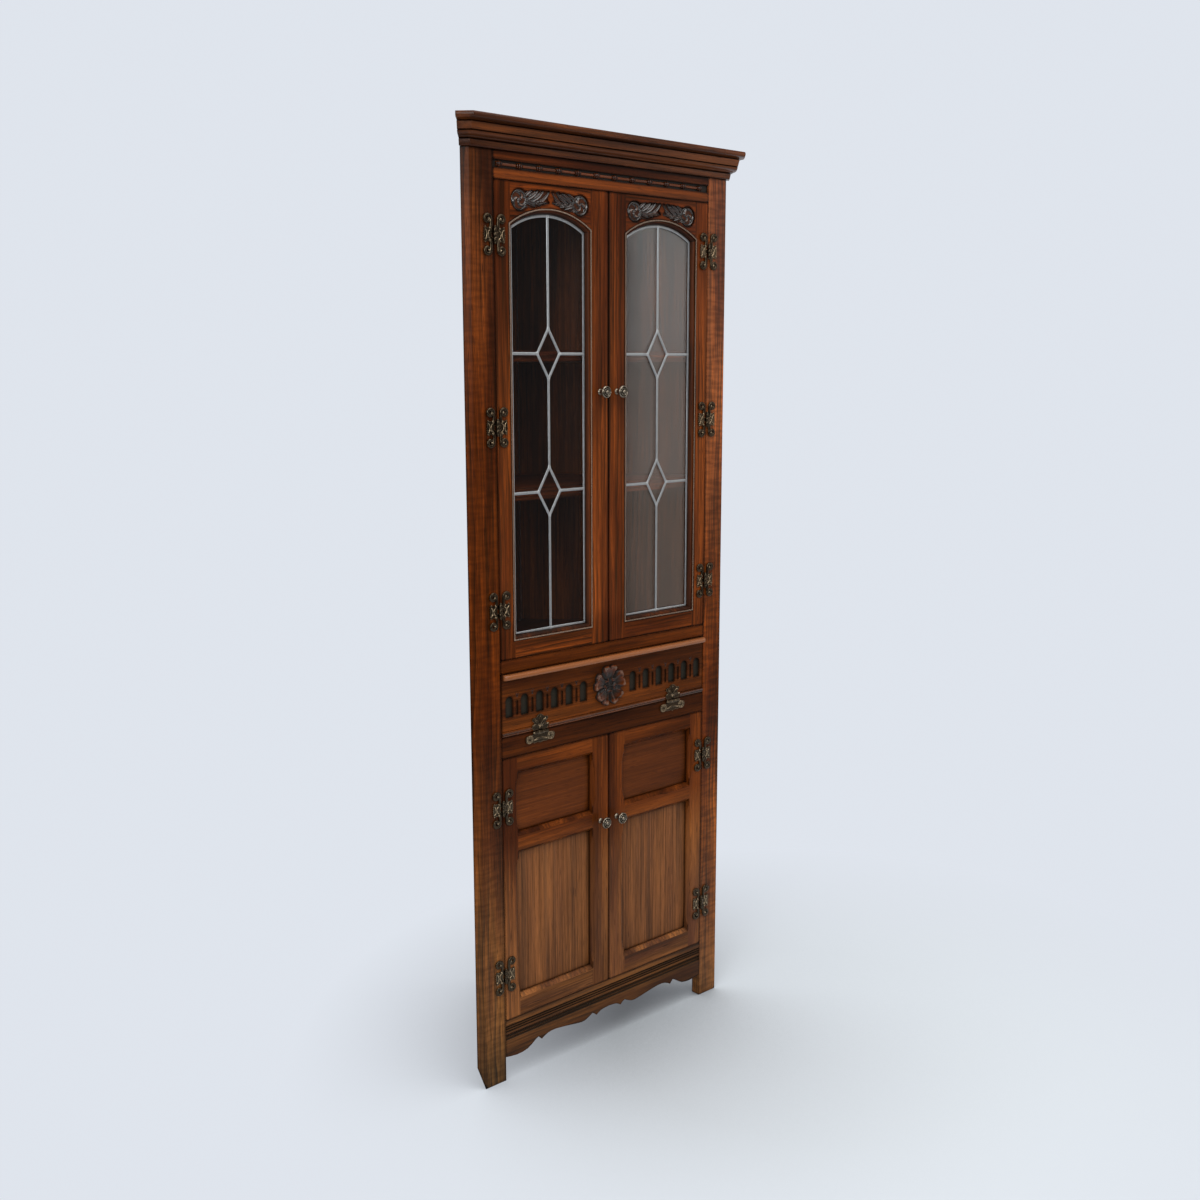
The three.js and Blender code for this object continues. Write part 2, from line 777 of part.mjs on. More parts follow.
function carvedRose() {
  const middle = flapBottom + roseRise;
  const point = (share, angle, out) => {
    const petal = 1 - roseNotchShare * (1 - Math.abs(Math.sin(angle * rosePetals / 2))) ** 2;
    const radius = roseRadius * share * petal;
    return [radius * Math.sin(angle), -out, middle + radius * Math.cos(angle)];
  };
  const angles = Array.from({ length: roseSteps }, (_, step) => step / roseSteps * Math.PI * 2);
  const face = roseRingShares.map((share) => angles.map((angle) => {
    const swell = roseHeight(share, angle);
    return point(share, angle, jointGap + roseEdge + roseRelief * swell);
  }));
  const back = angles.map((angle) => point(1, angle, jointGap));
  const rings = [...face, back];
  const positions = rings.flat(2);
  const index = [];
  for (let ring = 0; ring + 1 < rings.length; ring += 1) {
    for (let step = 0; step < roseSteps; step += 1) {
      const next = (step + 1) % roseSteps;
      const [a, b] = [ring * roseSteps + step, ring * roseSteps + next];
      index.push(a, b, b + roseSteps, a, b + roseSteps, a + roseSteps);
    }
  }
  const crown = positions.length / 3;
  positions.push(0, -(jointGap + roseEdge + roseRelief), middle, 0, -jointGap, middle);
  for (let step = 0; step < roseSteps; step += 1) {
    const next = (step + 1) % roseSteps;
    const last = face.length * roseSteps;
    index.push(crown, next, step, crown + 1, last + step, last + next);
  }
  const geometry = new THREE.BufferGeometry();
  geometry.setAttribute('position', new THREE.Float32BufferAttribute(positions, 3));
  geometry.setIndex(index);
  return facingOut(geometry);
}

// Quadrant stay, drawn in y and z about the flap's hinge axis

const stayMiddle = stileInner - stayInset;
const stayStart = Math.asin((flapThickness + axisOut + jointGap + stayFootThickness / 2) / stayRadius);
const guideFront = frameThickness + guideStandOff;
const guideBack = guideFront + guideThickness;
const guideEndAngle = Math.asin((guideBack + axisOut) / (stayRadius - stayWidth / 2));
const stayEnd = guideEndAngle + flapOpening + (stayStudRadius + stopMargin) / stayRadius;

function quadrantBand(from, to, halfWidth) {
  const place = (radius, angle) => {
    return [radius * Math.sin(angle) - axisOut, flapAxisHeight + radius * Math.cos(angle)];
  };
  const turn = (to - from) / staySteps;
  const angles = Array.from({ length: staySteps + 1 }, (_, step) => from + turn * step);
  const outer = angles.map((angle) => place(stayRadius + halfWidth, angle));
  const inner = angles.map((angle) => place(stayRadius - halfWidth, angle)).reverse();
  return [...outer, ...inner];
}

function quadrantStay() {
  const half = stayThickness / 2;
  const footFront = flapThickness + jointGap;
  const footBottom = flapBottom + stayFootRise;
  const foot = block(stayMiddle - stayFootWidth / 2, stayMiddle + stayFootWidth / 2, footFront,
    footFront + stayFootThickness, footBottom, footBottom + stayFootLength);
  const outline = quadrantBand(stayStart, stayEnd, stayWidth / 2);
  const band = extrudeAcross(outline, stayMiddle - half, stayMiddle + half);
  const stud = new THREE.CylinderGeometry(stayStudRadius, stayStudRadius, stayStudLength, roundSides);
  stud.rotateZ(Math.PI / 2);
  const studY = stayRadius * Math.sin(stayEnd) - axisOut;
  stud.translate(stayMiddle, studY, flapAxisHeight + stayRadius * Math.cos(stayEnd));
  return join(foot, band, stud);
}

function stayGuide() {
  const slotHalf = stayThickness / 2 + guideClearance;
  const near = stayMiddle - slotHalf - guideWall;
  const step = stileInner + jointGap;
  const far = step + guideFootWidth;
  const plan = [
    [near, guideFront],
    [step, guideFront],
    [step, behindFrame],
    [far, behindFrame],
    [far, guideBack],
    [near, guideBack],
  ];
  const middle = flapAxisHeight + stayRadius * Math.cos(guideEndAngle);
  const plate = extrudeUp(plan, middle - guideHeight / 2, middle + guideHeight / 2);
  const slotBand = quadrantBand(0, Math.PI / 2, stayWidth / 2 + guideClearance);
  return cut(plate, extrudeAcross(slotBand, stayMiddle - slotHalf, stayMiddle + slotHalf));
}

// Hinges, drawn with the axis standing at x = 0 and the leaf reaching towards +x

function scrollOutline() {
  const upper = [[leafNear, leafBodyHalf], [leafWaistNear, leafWaistHalf]];
  const sweep = Math.PI * 2 - lobeOpening;
  for (let step = 0; step <= lobeSteps; step += 1) {
    const angle = -Math.PI / 2 - lobeOpening / 2 - sweep * step / lobeSteps;
    upper.push([lobeReach + lobeRadius * Math.cos(angle), lobeRise + lobeRadius * Math.sin(angle)]);
  }
  upper.push([leafWaistFar, leafWaistHalf], [leafFar, leafBodyHalf]);
  const lower = upper.map(([x, z]) => [x, -z]).reverse();
  const shape = outlineOf([...upper, ...lower]);
  for (const side of [-1, 1]) {
    const eye = new THREE.Path();
    eye.absarc(lobeReach, side * lobeRise, lobeEyeRadius, 0, Math.PI * 2, false);
    shape.holes.push(eye);
  }
  return shape;
}

function flapLeafOutline(shares, half, reach) {
  const points = shares.map(([along, out]) => new THREE.Vector2(out * reach, along * half));
  const curve = new THREE.SplineCurve(points);
  const upper = curve.getPoints((shares.length - 1) * 2).map((point) => [point.x, point.y]);
  const lower = upper.slice(0, -1).map(([x, z]) => [x, -z]).reverse();
  return outlineOf([...upper, ...lower]);
}

function leafPlate(outline, spans) {
  const back = -jointGap;
  const front = back - leafThickness;
  const barrels = spans.flatMap(([low, high]) => [
    post(0, -axisOut, low, high, knuckleRadius),
    block(0, neckReach, front, back, low, high),
  ]);
  return join(extrudeBack(outline, front, back, 2), ...barrels);
}

// The leaf that stays on the frame: its two outer knuckles and the pin through them
function fixedLeaf(outline, knuckleHalf) {
  const inner = knuckleHalf * middleKnuckleShare;
  const leaf = leafPlate(outline, [[inner, knuckleHalf], [-knuckleHalf, -inner]]);
  const tip = knuckleHalf + finialLength;
  const pin = post(0, -axisOut, -knuckleHalf, knuckleHalf, pinRadius);
  const topFinial = post(0, -axisOut, knuckleHalf, tip, knuckleRadius, pinRadius);
  const lowFinial = post(0, -axisOut, -tip, -knuckleHalf, pinRadius, knuckleRadius);
  return join(leaf, pin, topFinial, lowFinial);
}

// The leaf that swings: its middle knuckle is bored for the pin
function swingLeaf(outline, knuckleHalf) {
  const half = knuckleHalf * middleKnuckleShare - jointGap;
  const leaf = leafPlate(outline, [[-half, half]]);
  return cut(leaf, post(0, -axisOut, -half - overrun, half + overrun, boreRadius));
}

function knob() {
  const points = knobShares.map(([radius, out]) => {
    return new THREE.Vector2(radius * knobHeadRadius, -(jointGap + out * (knobProjection - jointGap)));
  });
  return facingOut(merged(new THREE.LatheGeometry(points, knobSides)));
}

// Finishes

function finish(color, roughness, metalness, opacity = 1) {
  return new THREE.MeshStandardMaterial({ color, roughness, metalness, opacity, transparent: opacity < 1 });
}

const oak = () => finish(0x5c2e18, 0.4, 0);
const darkOak = () => finish(0x3a2015, 0.55, 0);
const bronze = () => finish(0x5a4630, 0.45, 1);
const pewter = () => finish(0x6a6058, 0.35, 1);
const lead = () => finish(0x9aa0a4, 0.45, 1);
const glass = () => finish(0xbcc4c4, 0.05, 0, 0.25);

function piece(name, geometry, material) {
  const bare = merged(geometry);
  const faceted = bare.toNonIndexed();
  faceted.computeVertexNormals();
  const mesh = new THREE.Mesh(faceted, material);
  mesh.name = name;
  return mesh;
}

// A piece and its twin on the other side, named for the side that it is on
function pair(name, geometry, material) {
  return [
    piece(`right_${name}`, geometry, material()),
    piece(`left_${name}`, mirrored(geometry), material()),
  ];
}

function carcassPieces() {
  const shelfLow = displayBottom + lowerShelfRise;
  const shelfHigh = displayBottom + upperShelfRise;
  const compartmentHigh = flapBottom - compartmentWell;
  const compartmentLow = compartmentHigh - compartmentFloorThickness;
  const shelfBase = plinthHeight + cupboardShelfRise;
  const cupboardBase = plinthHeight - cupboardFloorThickness;
  return [
    ...pair('front_post', frontPost(), oak),
    ...pair('wall_panel', wallPanel(), darkOak),
    piece('corner_post', cornerPost(), darkOak()),
    piece('cornice', cornice(), oak()),
    piece('top_board', topBoard(), darkOak()),
    piece('frieze_rail', friezeRail(), oak()),
    piece('display_floor', cornerBoard(0, flapTop, displayBottom), oak()),
    piece('upper_shelf', shelf(shelfHigh), oak()),
    piece('lower_shelf', shelf(shelfLow), oak()),
    piece('cupboard_rail', railBlock(cupboardTop, flapBottom), oak()),
    piece('compartment_floor', cornerBoard(doorBack, compartmentLow, compartmentHigh), oak()),
    piece('cupboard_shelf', cornerBoard(doorBack, shelfBase, shelfBase + cupboardShelfThickness), oak()),
    piece('cupboard_floor', cornerBoard(behindFrame, cupboardBase, plinthHeight), oak()),
    piece('bottom_rail', bottomRail(), oak()),
    piece('stay_guide', stayGuide(), bronze()),
  ];
}

const scroll = scrollOutline();
const scrollFixed = fixedLeaf(scroll, doorKnuckleHalf);
const scrollSwing = mirrored(swingLeaf(scroll, doorKnuckleHalf));
const hingeNames = ['lower', 'middle', 'upper'];

// A knob at a given height on a door's meeting stile
function doorKnob(height) {
  return knob().translate(doorInner + knobInset, 0, height);
}

// Both leaves of each scroll hinge on one pair of doors
function doorHinges(door, names, heights) {
  return names.flatMap((name, place) => {
    const seat = (leaf) => leaf.clone().translate(stileInner, 0, heights[place]);
    return [
      ...pair(`${door}_${name}_hinge_fixed_leaf`, seat(scrollFixed), bronze),
      ...pair(`${door}_${name}_hinge_door_leaf`, seat(scrollSwing), bronze),
    ];
  });
}

function displayDoorPieces() {
  const height = displayHigh - displayLow;
  const heights = displayHingeHeightShares.map((share) => displayLow + share * height);
  return [
    ...pair('display_door_frame', displayFrame(), oak),
    ...pair('display_door_glass', glassPane(), glass),
    ...pair('display_door_cames', leadCames(), lead),
    ...pair('display_door_knob', doorKnob(displayBottom + displayKnobRise), pewter),
    ...doorHinges('display', hingeNames, heights),
  ];
}

function cupboardDoorPieces() {
  const height = cupboardHigh - cupboardLow;
  const heights = cupboardHingeHeightShares.map((share) => cupboardLow + share * height);
  return [
    ...pair('cupboard_door_frame', cupboardFrame(), oak),
    ...pair('cupboard_door_upper_panel', doorPanel(panelOpenings[0]), oak),
    ...pair('cupboard_door_lower_panel', doorPanel(panelOpenings[1]), oak),
    ...pair('cupboard_door_knob', doorKnob(plinthHeight + cupboardKnobRise), pewter),
    ...doorHinges('cupboard', [hingeNames[0], hingeNames[2]], heights),
  ];
}

function flapPieces() {
  const seat = (leaf) => leaf.translate(flapHingeOffset, 0, flapAxisHeight);
  const lowerOutline = flapLeafOutline(lowerLeafShares, lowerLeafHalf, lowerLeafReach);
  const upperOutline = flapLeafOutline(upperLeafShares, upperLeafHalf, upperLeafReach);
  const lower = fixedLeaf(lowerOutline, flapKnuckleHalf);
  const upper = swingLeaf(upperOutline, flapKnuckleHalf);
  return [
    piece('flap_board', flapBoard(), oak()),
    piece('flap_rose', carvedRose(), oak()),
    piece('flap_quadrant_stay', quadrantStay(), bronze()),
    ...pair('flap_hinge_fixed_leaf', seat(lower.rotateY(Math.PI / 2)), bronze),
    ...pair('flap_hinge_flap_leaf', seat(upper.rotateY(-Math.PI / 2)), bronze),
  ];
}

const cupboard = new THREE.Group();
cupboard.add(...carcassPieces(), ...displayDoorPieces(), ...cupboardDoorPieces(), ...flapPieces());
cupboard.position.y = (corniceProjection - (wallReach - cornerEase)) / 2;

export default cupboard;
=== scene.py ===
# %% [markdown]
# # A tall oak corner cupboard
# The cupboard stands in a room corner. It has leaded glass doors above, a carved fall flap in the middle and
# panelled doors below. The construction comes in as a fixed frame of separate nodes. Each step below gives one kind of
# piece its fine surface and its finish, and says why it is made in that way.

import json
import zlib
from math import acos, atan2, cos, exp, hypot, pi, radians, sin, sqrt, tan

import bmesh
import bpy
from mathutils import Matrix, Vector

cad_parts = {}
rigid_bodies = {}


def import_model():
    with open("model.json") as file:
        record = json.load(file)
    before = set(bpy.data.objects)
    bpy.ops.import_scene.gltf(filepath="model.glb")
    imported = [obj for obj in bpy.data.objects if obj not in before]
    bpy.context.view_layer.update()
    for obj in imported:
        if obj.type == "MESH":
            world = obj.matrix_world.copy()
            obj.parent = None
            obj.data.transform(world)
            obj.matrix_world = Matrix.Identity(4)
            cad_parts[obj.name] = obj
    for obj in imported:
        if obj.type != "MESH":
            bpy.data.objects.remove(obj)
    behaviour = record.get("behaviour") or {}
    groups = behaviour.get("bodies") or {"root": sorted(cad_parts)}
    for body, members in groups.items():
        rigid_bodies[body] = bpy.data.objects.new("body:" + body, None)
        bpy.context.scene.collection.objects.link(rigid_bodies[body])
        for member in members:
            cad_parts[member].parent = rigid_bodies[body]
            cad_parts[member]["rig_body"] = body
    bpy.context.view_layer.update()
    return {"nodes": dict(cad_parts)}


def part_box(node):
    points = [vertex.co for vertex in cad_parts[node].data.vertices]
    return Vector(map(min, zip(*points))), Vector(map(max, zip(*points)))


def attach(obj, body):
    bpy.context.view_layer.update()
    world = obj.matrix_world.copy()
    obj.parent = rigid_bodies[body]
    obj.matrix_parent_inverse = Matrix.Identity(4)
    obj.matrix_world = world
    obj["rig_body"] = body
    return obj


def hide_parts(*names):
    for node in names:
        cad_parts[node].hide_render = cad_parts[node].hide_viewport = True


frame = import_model()

# %% [markdown]
# The sizes below are in millimetres, measured from the middle of the cupboard, from the front face of its frame and
# from the floor. One function turns such a place into metres in the frame's own axes, so that every later cell can
# speak a joiner's language.

# %% Millimetres on the cupboard
MM = 0.001
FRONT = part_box("left_front_post")[0].y
SIDES = (("left", -1), ("right", 1))


def at(x, y, z):
    return Vector((x * MM, FRONT + y * MM, z * MM))


def placed(name, data):
    """A new object in the scene, which holds the data."""
    item = bpy.data.objects.new(name, data)
    bpy.context.scene.collection.objects.link(item)
    return item


print("front face of the frame at y =", round(FRONT, 4))

# %% [markdown]
# ## Camera
# The photograph looks slightly down at the cupboard from its left. The camera's place, turn and lens were fitted to
# the corners of the frame, so the render and the photograph share one perspective.

# %% Camera
camera_data = bpy.data.cameras.new("camera")
camera_data.sensor_width, camera_data.lens, camera_data.clip_end = 36, 39.43, 60
camera = placed("camera", camera_data)
camera.location = at(-1726.8, -1934.1, 1402.5)
turn, pitch, roll = (Matrix.Rotation(radians(angle), 3, axis)
                     for angle, axis in ((-41.38, "Z"), (90 - 10.1, "X"), (-0.09, "Z")))
camera.rotation_euler = (turn @ pitch @ roll).to_euler()
bpy.context.scene.camera = camera
bpy.context.scene.view_settings.view_transform = "Standard"
print("camera", tuple(round(value, 3) for value in camera.location))

# %% [markdown]
# ## Node helpers
# Materials, the world and the modelling trees are all node trees. One small class adds a node, sets its options and
# either links or sets its inputs, and has short words for the nodes that are used most. A node given as a value stands
# for its first output. That keeps each finish readable, as a list of what it is mixed from.

# %% Node helpers
class Tree:
    def __init__(self, tree):
        self.tree = tree

    def set(self, node, inputs):
        for name, value in inputs.items():
            if isinstance(value, bpy.types.Node):
                value = value.outputs[0]
            if isinstance(value, bpy.types.NodeSocket):
                self.tree.links.new(value, node.inputs[name])
            else:
                node.inputs[name].default_value = value
        return node

    def add(self, kind, inputs=None, **options):
        node = self.tree.nodes.new(kind)
        for name, value in options.items():
            setattr(node, name, value)
        return self.set(node, inputs or {})

    def maths(self, operation, first, second=0.0, third=0.0):
        return self.add("ShaderNodeMath", {0: first, 1: second, 2: third}, operation=operation)

    def product(self, first, second):
        return self.maths("MULTIPLY", first, second)

    def vector(self, operation, first, second=(0, 0, 0)):
        return self.add("ShaderNodeVectorMath", {0: first, 1: second}, operation=operation)

    def scaled(self, vector, factors):
        return self.vector("MULTIPLY", vector, factors)

    def combine(self, x, y, z):
        return self.add("ShaderNodeCombineXYZ", {0: x, 1: y, 2: z})

    def place(self):
        return self.add("ShaderNodeTexCoord").outputs["Object"]

    def axis(self, name):
        return self.add("ShaderNodeSeparateXYZ", {0: self.place()}).outputs[name]

    def noise(self, vector, scale, detail, roughness=0.5):
        inputs = {"Vector": vector, "Scale": scale, "Detail": detail, "Roughness": roughness}
        return self.add("ShaderNodeTexNoise", inputs)

    def bump(self, height, strength, distance):
        return self.add("ShaderNodeBump", {"Height": height, "Strength": strength, "Distance": distance * MM})

    def mix(self, factor, first, second, blend="MIX"):
        inputs = {0: factor, 6: first, 7: second}
        return self.add("ShaderNodeMix", inputs, data_type="RGBA", blend_type=blend).outputs[2]

    def times(self, first, second):
        return self.mix(1.0, first, second, "MULTIPLY")

    def ramp(self, value, stops):
        """The colour, or the grey level, that a list of (position, colour) stops gives for a value."""
        node = self.add("ShaderNodeValToRGB", {0: value})
        while len(node.color_ramp.elements) < len(stops):
            node.color_ramp.elements.new(0.5)
        for element, (position, colour) in zip(node.color_ramp.elements, stops):
            element.position = position
            element.color = (*(colour if isinstance(colour, tuple) else [colour] * 3), 1)
        return node

    def hollows(self, distance, stops, samples=6, only_local=True, inside=False):
        """A ramp of how open a point is: a hollow closes it, or, looking inside, an edge does."""
        node = self.add("ShaderNodeAmbientOcclusion", {"Distance": distance * MM}, samples=samples,
                        only_local=only_local, inside=inside)
        return self.ramp(node.outputs["AO"], stops)


def new_finish(name):
    finish = bpy.data.materials.new(name)
    finish.use_nodes = True
    return finish, Tree(finish.node_tree), finish.node_tree.nodes["Principled BSDF"]


print("node helpers ready")

# %% [markdown]
# ## Studio
# The background is one pale blue grey. The camera, glossy and transmission rays see that colour, and the plain light
# level comes from a softer grey. A polished pane also shows the darker side of a studio, behind the camera, so the
# world is dim there for glossy rays.

# %% World
background_colour, ambient_colour = (0.74, 0.78, 0.845, 1), (0.62, 0.63, 0.66, 1)
world = bpy.data.worlds.new("studio")
bpy.context.scene.world = world
world.use_nodes = True
tree = Tree(world.node_tree)
ray = tree.add("ShaderNodeLightPath").outputs
seen = tree.maths("MAXIMUM", ray["Is Camera Ray"],
                  tree.maths("MAXIMUM", ray["Is Glossy Ray"], ray["Is Transmission Ray"]))
direction = tree.add("ShaderNodeTexCoord").outputs["Generated"]
toward_back = tree.add("ShaderNodeSeparateXYZ", {0: direction}).outputs["Y"]
dim_share = tree.ramp(tree.maths("MULTIPLY_ADD", toward_back, 0.5, 0.5), [(0.2, 0.025), (0.45, 0.2), (0.62, 1)])
shown = tree.mix(ray["Is Camera Ray"], tree.times(background_colour, dim_share), background_colour)
tree.set(world.node_tree.nodes["Background"], {"Color": tree.mix(seen, ambient_colour, shown), "Strength": 1.0})
print("world set")

# %% [markdown]
# The floor is plain and pale. Near the cupboard it is a matt surface that takes the lamps' soft shadow, and its colour
# is also darkened where the cupboard closes it in, a painted shadow round the foot and in front of it. Further out
# it turns into the background colour, so that no horizon line shows behind the object.

# %% Floor
floor_radius, floor_colour = 2.4, (0.635, 0.675, 0.70, 1)
shadow_middle = (0.32, -0.42, 0.0)
bpy.ops.mesh.primitive_circle_add(vertices=96, radius=floor_radius, fill_type="NGON", location=(0, 0, 0))
floor = bpy.context.object
floor.name = "studio_floor"
finish, tree, shader = new_finish("pale_floor")
# Painted shadow: the floor's colour is darker where the cupboard closes it in.
painted_floor_shadow = tree.hollows(900, [(0.2, 0.08), (0.5, 0.36), (0.75, 0.78), (1.0, 1.0)], 12, False)
tree.set(shader, {"Roughness": 0.9, "Base Color": tree.times(floor_colour, painted_floor_shadow)})
aside = tree.vector("DISTANCE", tree.place(), shadow_middle).outputs["Value"]
far = tree.ramp(tree.product(aside, 0.25), [(0.1, 0.13), (0.27, 1)])
plain = tree.add("ShaderNodeEmission", {"Color": background_colour})
both = tree.add("ShaderNodeMixShader", {0: far, 1: shader, 2: plain})
tree.set(finish.node_tree.nodes["Material Output"], {"Surface": both})
floor.data.materials.append(finish)
print("floor radius", floor_radius)

# %% [markdown]
# Broad lamps light the cupboard softly. The one from the right also gives the right pane its pale reflection. It is
# made of three lamps above each other, brightest at the top, so that the reflection fades towards the foot of the pane.
# A weaker lamp stands at the left of the camera, and one hangs overhead in front. It casts part of the shadow under
# the apron, and the rest of that shadow is painted into the floor's colour.

# %% Lamps
def soft_lamp(name, place, target, width, height, power, colour=(1, 1, 1)):
    lamp = bpy.data.lights.new(name, "AREA")
    lamp.shape, lamp.size, lamp.size_y = "RECTANGLE", width, height
    lamp.color, lamp.energy = colour, power
    holder = placed(name, lamp)
    holder.location = place
    holder.rotation_euler = (Vector(target) - Vector(place)).to_track_quat("-Z", "Y").to_euler()


for name, height, tall, power, colour in (("right_high", 2.3, 1.7, 15.5, (1, 0.97, 0.94)),
                                          ("right_middle", 1.125, 0.65, 4.8, (1, 0.88, 0.80)),
                                          ("right_low", 0.275, 1.05, 5.4, (1, 0.82, 0.70))):
    soft_lamp(name, (3.415, -2.349, height), (0.115, 0.151, height - 0.05), 2.02, tall, power, colour)
soft_lamp("left_lamp", (-2.6, -2.2, 2.4), (0, -0.1, 0.9), 1.8, 1.8, 62)
soft_lamp("top_lamp", (0.2, -1.4, 3.6), (0, 0, 0.8), 2.4, 2.4, 60)
print("lamps", len(bpy.data.lights))

# %% [markdown]
# ## Oak
# Old oak is reddish brown with dark ring lines that run along each board. The grain is built from object coordinates:
# a wave texture, bent by noise, gives the rings, and a very stretched noise gives the open pores. The grain runs
# upright on stiles and posts and level on rails. A door frame is one node with both, so its finish looks at how far
# from the middle a point lies. Each piece holds a number of its own, named board, that shifts the pattern, as two
# boards are never alike.

# %% Oak finish
DARK_OAK, RED_OAK, WARM_OAK = (0.018, 0.0085, 0.0036, 1), (0.062, 0.0150, 0.0040, 1), (0.158, 0.0400, 0.0072, 1)
PORE_OAK = (*(value * 0.45 for value in DARK_OAK[:3]), 1)
PAINTED_NOSING_HIGHLIGHT, PAINTED_HIGHLIGHT_OAK = (0.38, 0.130, 0.040, 1), (0.36, 0.26, 0.19, 1)
OLD_WAX, NICHE_WAX, RAIL_WAX = (0.013, 0.0115, 0.0095, 1), (0.018, 0.0185, 0.0145, 1), (0.040, 0.030, 0.021, 1)
TINT_SPAN = 2.0
door_rail_span = (45.0, 236.0)
door_openings = [(893.0, 1650.0), (501.0, 634.0), (164.0, 473.0)]


def grain_space(tree, grain):
    """Object coordinates turned so that the grain runs along the third one."""
    x, y, z = (tree.axis(name) for name in "XYZ")
    upright, level = tree.combine(x, y, z), tree.combine(z, y, x)
    if grain != "framed":
        return upright if grain == "upright" else level

    def within(value, low, high):
        return tree.product(tree.maths("GREATER_THAN", value, low * MM), tree.maths("LESS_THAN", value, high * MM))

    rails = within(tree.maths("ABSOLUTE", x), *door_rail_span)
    for opening in door_openings:
        rails = tree.maths("SUBTRACT", rails, within(z, *opening))
    choice = {0: tree.maths("GREATER_THAN", rails, 0.5), 4: upright, 5: tree.vector("ADD", level, (0.31, 0.0, 0.17))}
    return tree.add("ShaderNodeMix", choice, data_type="VECTOR").outputs[1]


def depth_share(tree, most, start, end, until):
    """A share that grows from 0 to most between two depths behind the front face and ends at a third."""
    depth, (first, last, limit) = tree.axis("Y"), (FRONT + place * MM for place in (start, end, until))
    share = tree.add("ShaderNodeMapRange", {"Value": depth, "From Min": first, "From Max": last, "To Max": most})
    return tree.product(share, tree.maths("LESS_THAN", depth, limit))


def oak_finish(name, grain="level", tone=(1, 1, 1), crevice_dirt_and_shade=0.25, reach=9, gloss=0.32, shine=0.07, joint=0.06,
               layers=(), ring_scale=30, ring_dark=0.12, lines=0.25, even=0.12, ripple=0.0, painted_overhang_shade=False, until=30,
               tints_and_painted_light=()):
    """Layers are old wax in hollows or painted highlights on what stands proud: a colour, its greatest share, and the
    depths where it starts and is full.

    tints_and_painted_light gives, from the foot up, heights in metres and the factor for the colour there: painted
    shade at the top of the frieze and the glass doors and under the flap, a painted sheen on the right post, and a
    paler, greyer foot.
    """
    finish, tree, shader = new_finish(name)
    board = tree.add("ShaderNodeAttribute", attribute_name="board").outputs["Fac"]
    shift = tree.scaled(tree.combine(board, board, board), (0.9, 0.5, 3.1))
    space = tree.vector("ADD", grain_space(tree, grain), shift)

    def noise(across, along, detail, roughness=0.5):
        return tree.noise(tree.scaled(space, (across, across, along)), 1, detail, roughness)

    def shaded(colour, share, stops):
        return tree.times(colour, tree.ramp(share, stops))

    wave = {"Vector": tree.scaled(space, (1, 1, 0.1)), "Scale": ring_scale, "Distortion": 15, "Detail": 3,
            "Detail Scale": 0.5, "Detail Roughness": 0.6}
    rings = tree.add("ShaderNodeTexWave", wave, wave_profile="SAW").outputs["Fac"]
    fine, pores = noise(420, 9, 3, 0.6), noise(1150, 34, 1)
    wood = tree.mix(tree.ramp(noise(22, 2.4, 3), [(0.5 - even, 0), (0.5 + even, 1)]), RED_OAK, WARM_OAK)
    late = tree.ramp(rings, [(0.25, 0), (0.9, 1 - ring_dark), (0.97, 0.1)])
    patchy = tree.ramp(noise(35, 3.5, 2), [(0.35, 0.2), (0.6, 1)])
    streaks = tree.ramp(noise(75, 1.5, 3, 0.55), [(0.56, 0), (0.66, 0.8 * (1 - ring_dark))])
    wood = tree.mix(tree.maths("MAXIMUM", tree.product(late, patchy), streaks), wood, DARK_OAK)
    wood = shaded(wood, noise(190, 3.2, 4, 0.6), [(0.36, 1 - lines), (0.6, 1.08)])
    wood = shaded(wood, fine, [(0.34, 0.8), (0.62, 1.08)])
    wood = shaded(wood, noise(14, 1.7, 2), [(0.5 - even, 0.66), (0.5, 0.96), (0.5 + even, 1.16)])
    if ripple:
        wood = shaded(wood, noise(28, 130, 1), [(0.36, 1 - ripple), (0.62, 1.1)])
    # Painted shade: darker where nearby parts close the board in, as under the cornice and round the panels.
    if painted_overhang_shade:
        wood = tree.times(wood, tree.hollows(50, [(0.4, 0.14), (0.92, 1)], 8, False))
    pore_share = tree.product(tree.ramp(pores, [(0.56, 0), (0.68, 0.8)]),
                            tree.ramp(rings, [(0.15, 1), (0.6, 0.3)]))
    wood = tree.times(tree.mix(pore_share, wood, PORE_OAK), (*tone, 1))
    # Painted light and shade by height, and a paler foot.
    if tints_and_painted_light:
        height = tree.maths("DIVIDE", tree.axis("Z"), TINT_SPAN)
        wood = shaded(wood, height, [(place / TINT_SPAN, tint) for place, tint in tints_and_painted_light])
    # Old wax darkens the hollows, and a paler layer on what stands proud is a painted highlight.
    for colour, *shares in layers:
        wood = tree.mix(depth_share(tree, *shares, until), wood, colour)
    wood = tree.times(wood, tree.hollows(4.6, [(0.6, joint), (0.86, 1)], inside=True))
    # Darker in hollows and creases: dirt, and painted shade.
    wood = tree.times(wood, tree.hollows(reach, [(0.35, crevice_dirt_and_shade), (0.92, 1)]))
    relief = tree.maths("SUBTRACT", tree.product(fine, 0.35), pore_share)
    roughness = tree.maths("MULTIPLY_ADD", pore_share, 0.25, gloss)
    tree.set(shader, {"Base Color": wood, "Specular IOR Level": shine, "Roughness": roughness,
                      "Normal": tree.bump(relief, 0.35, 0.25)})
    return finish


print("oak recipe ready")
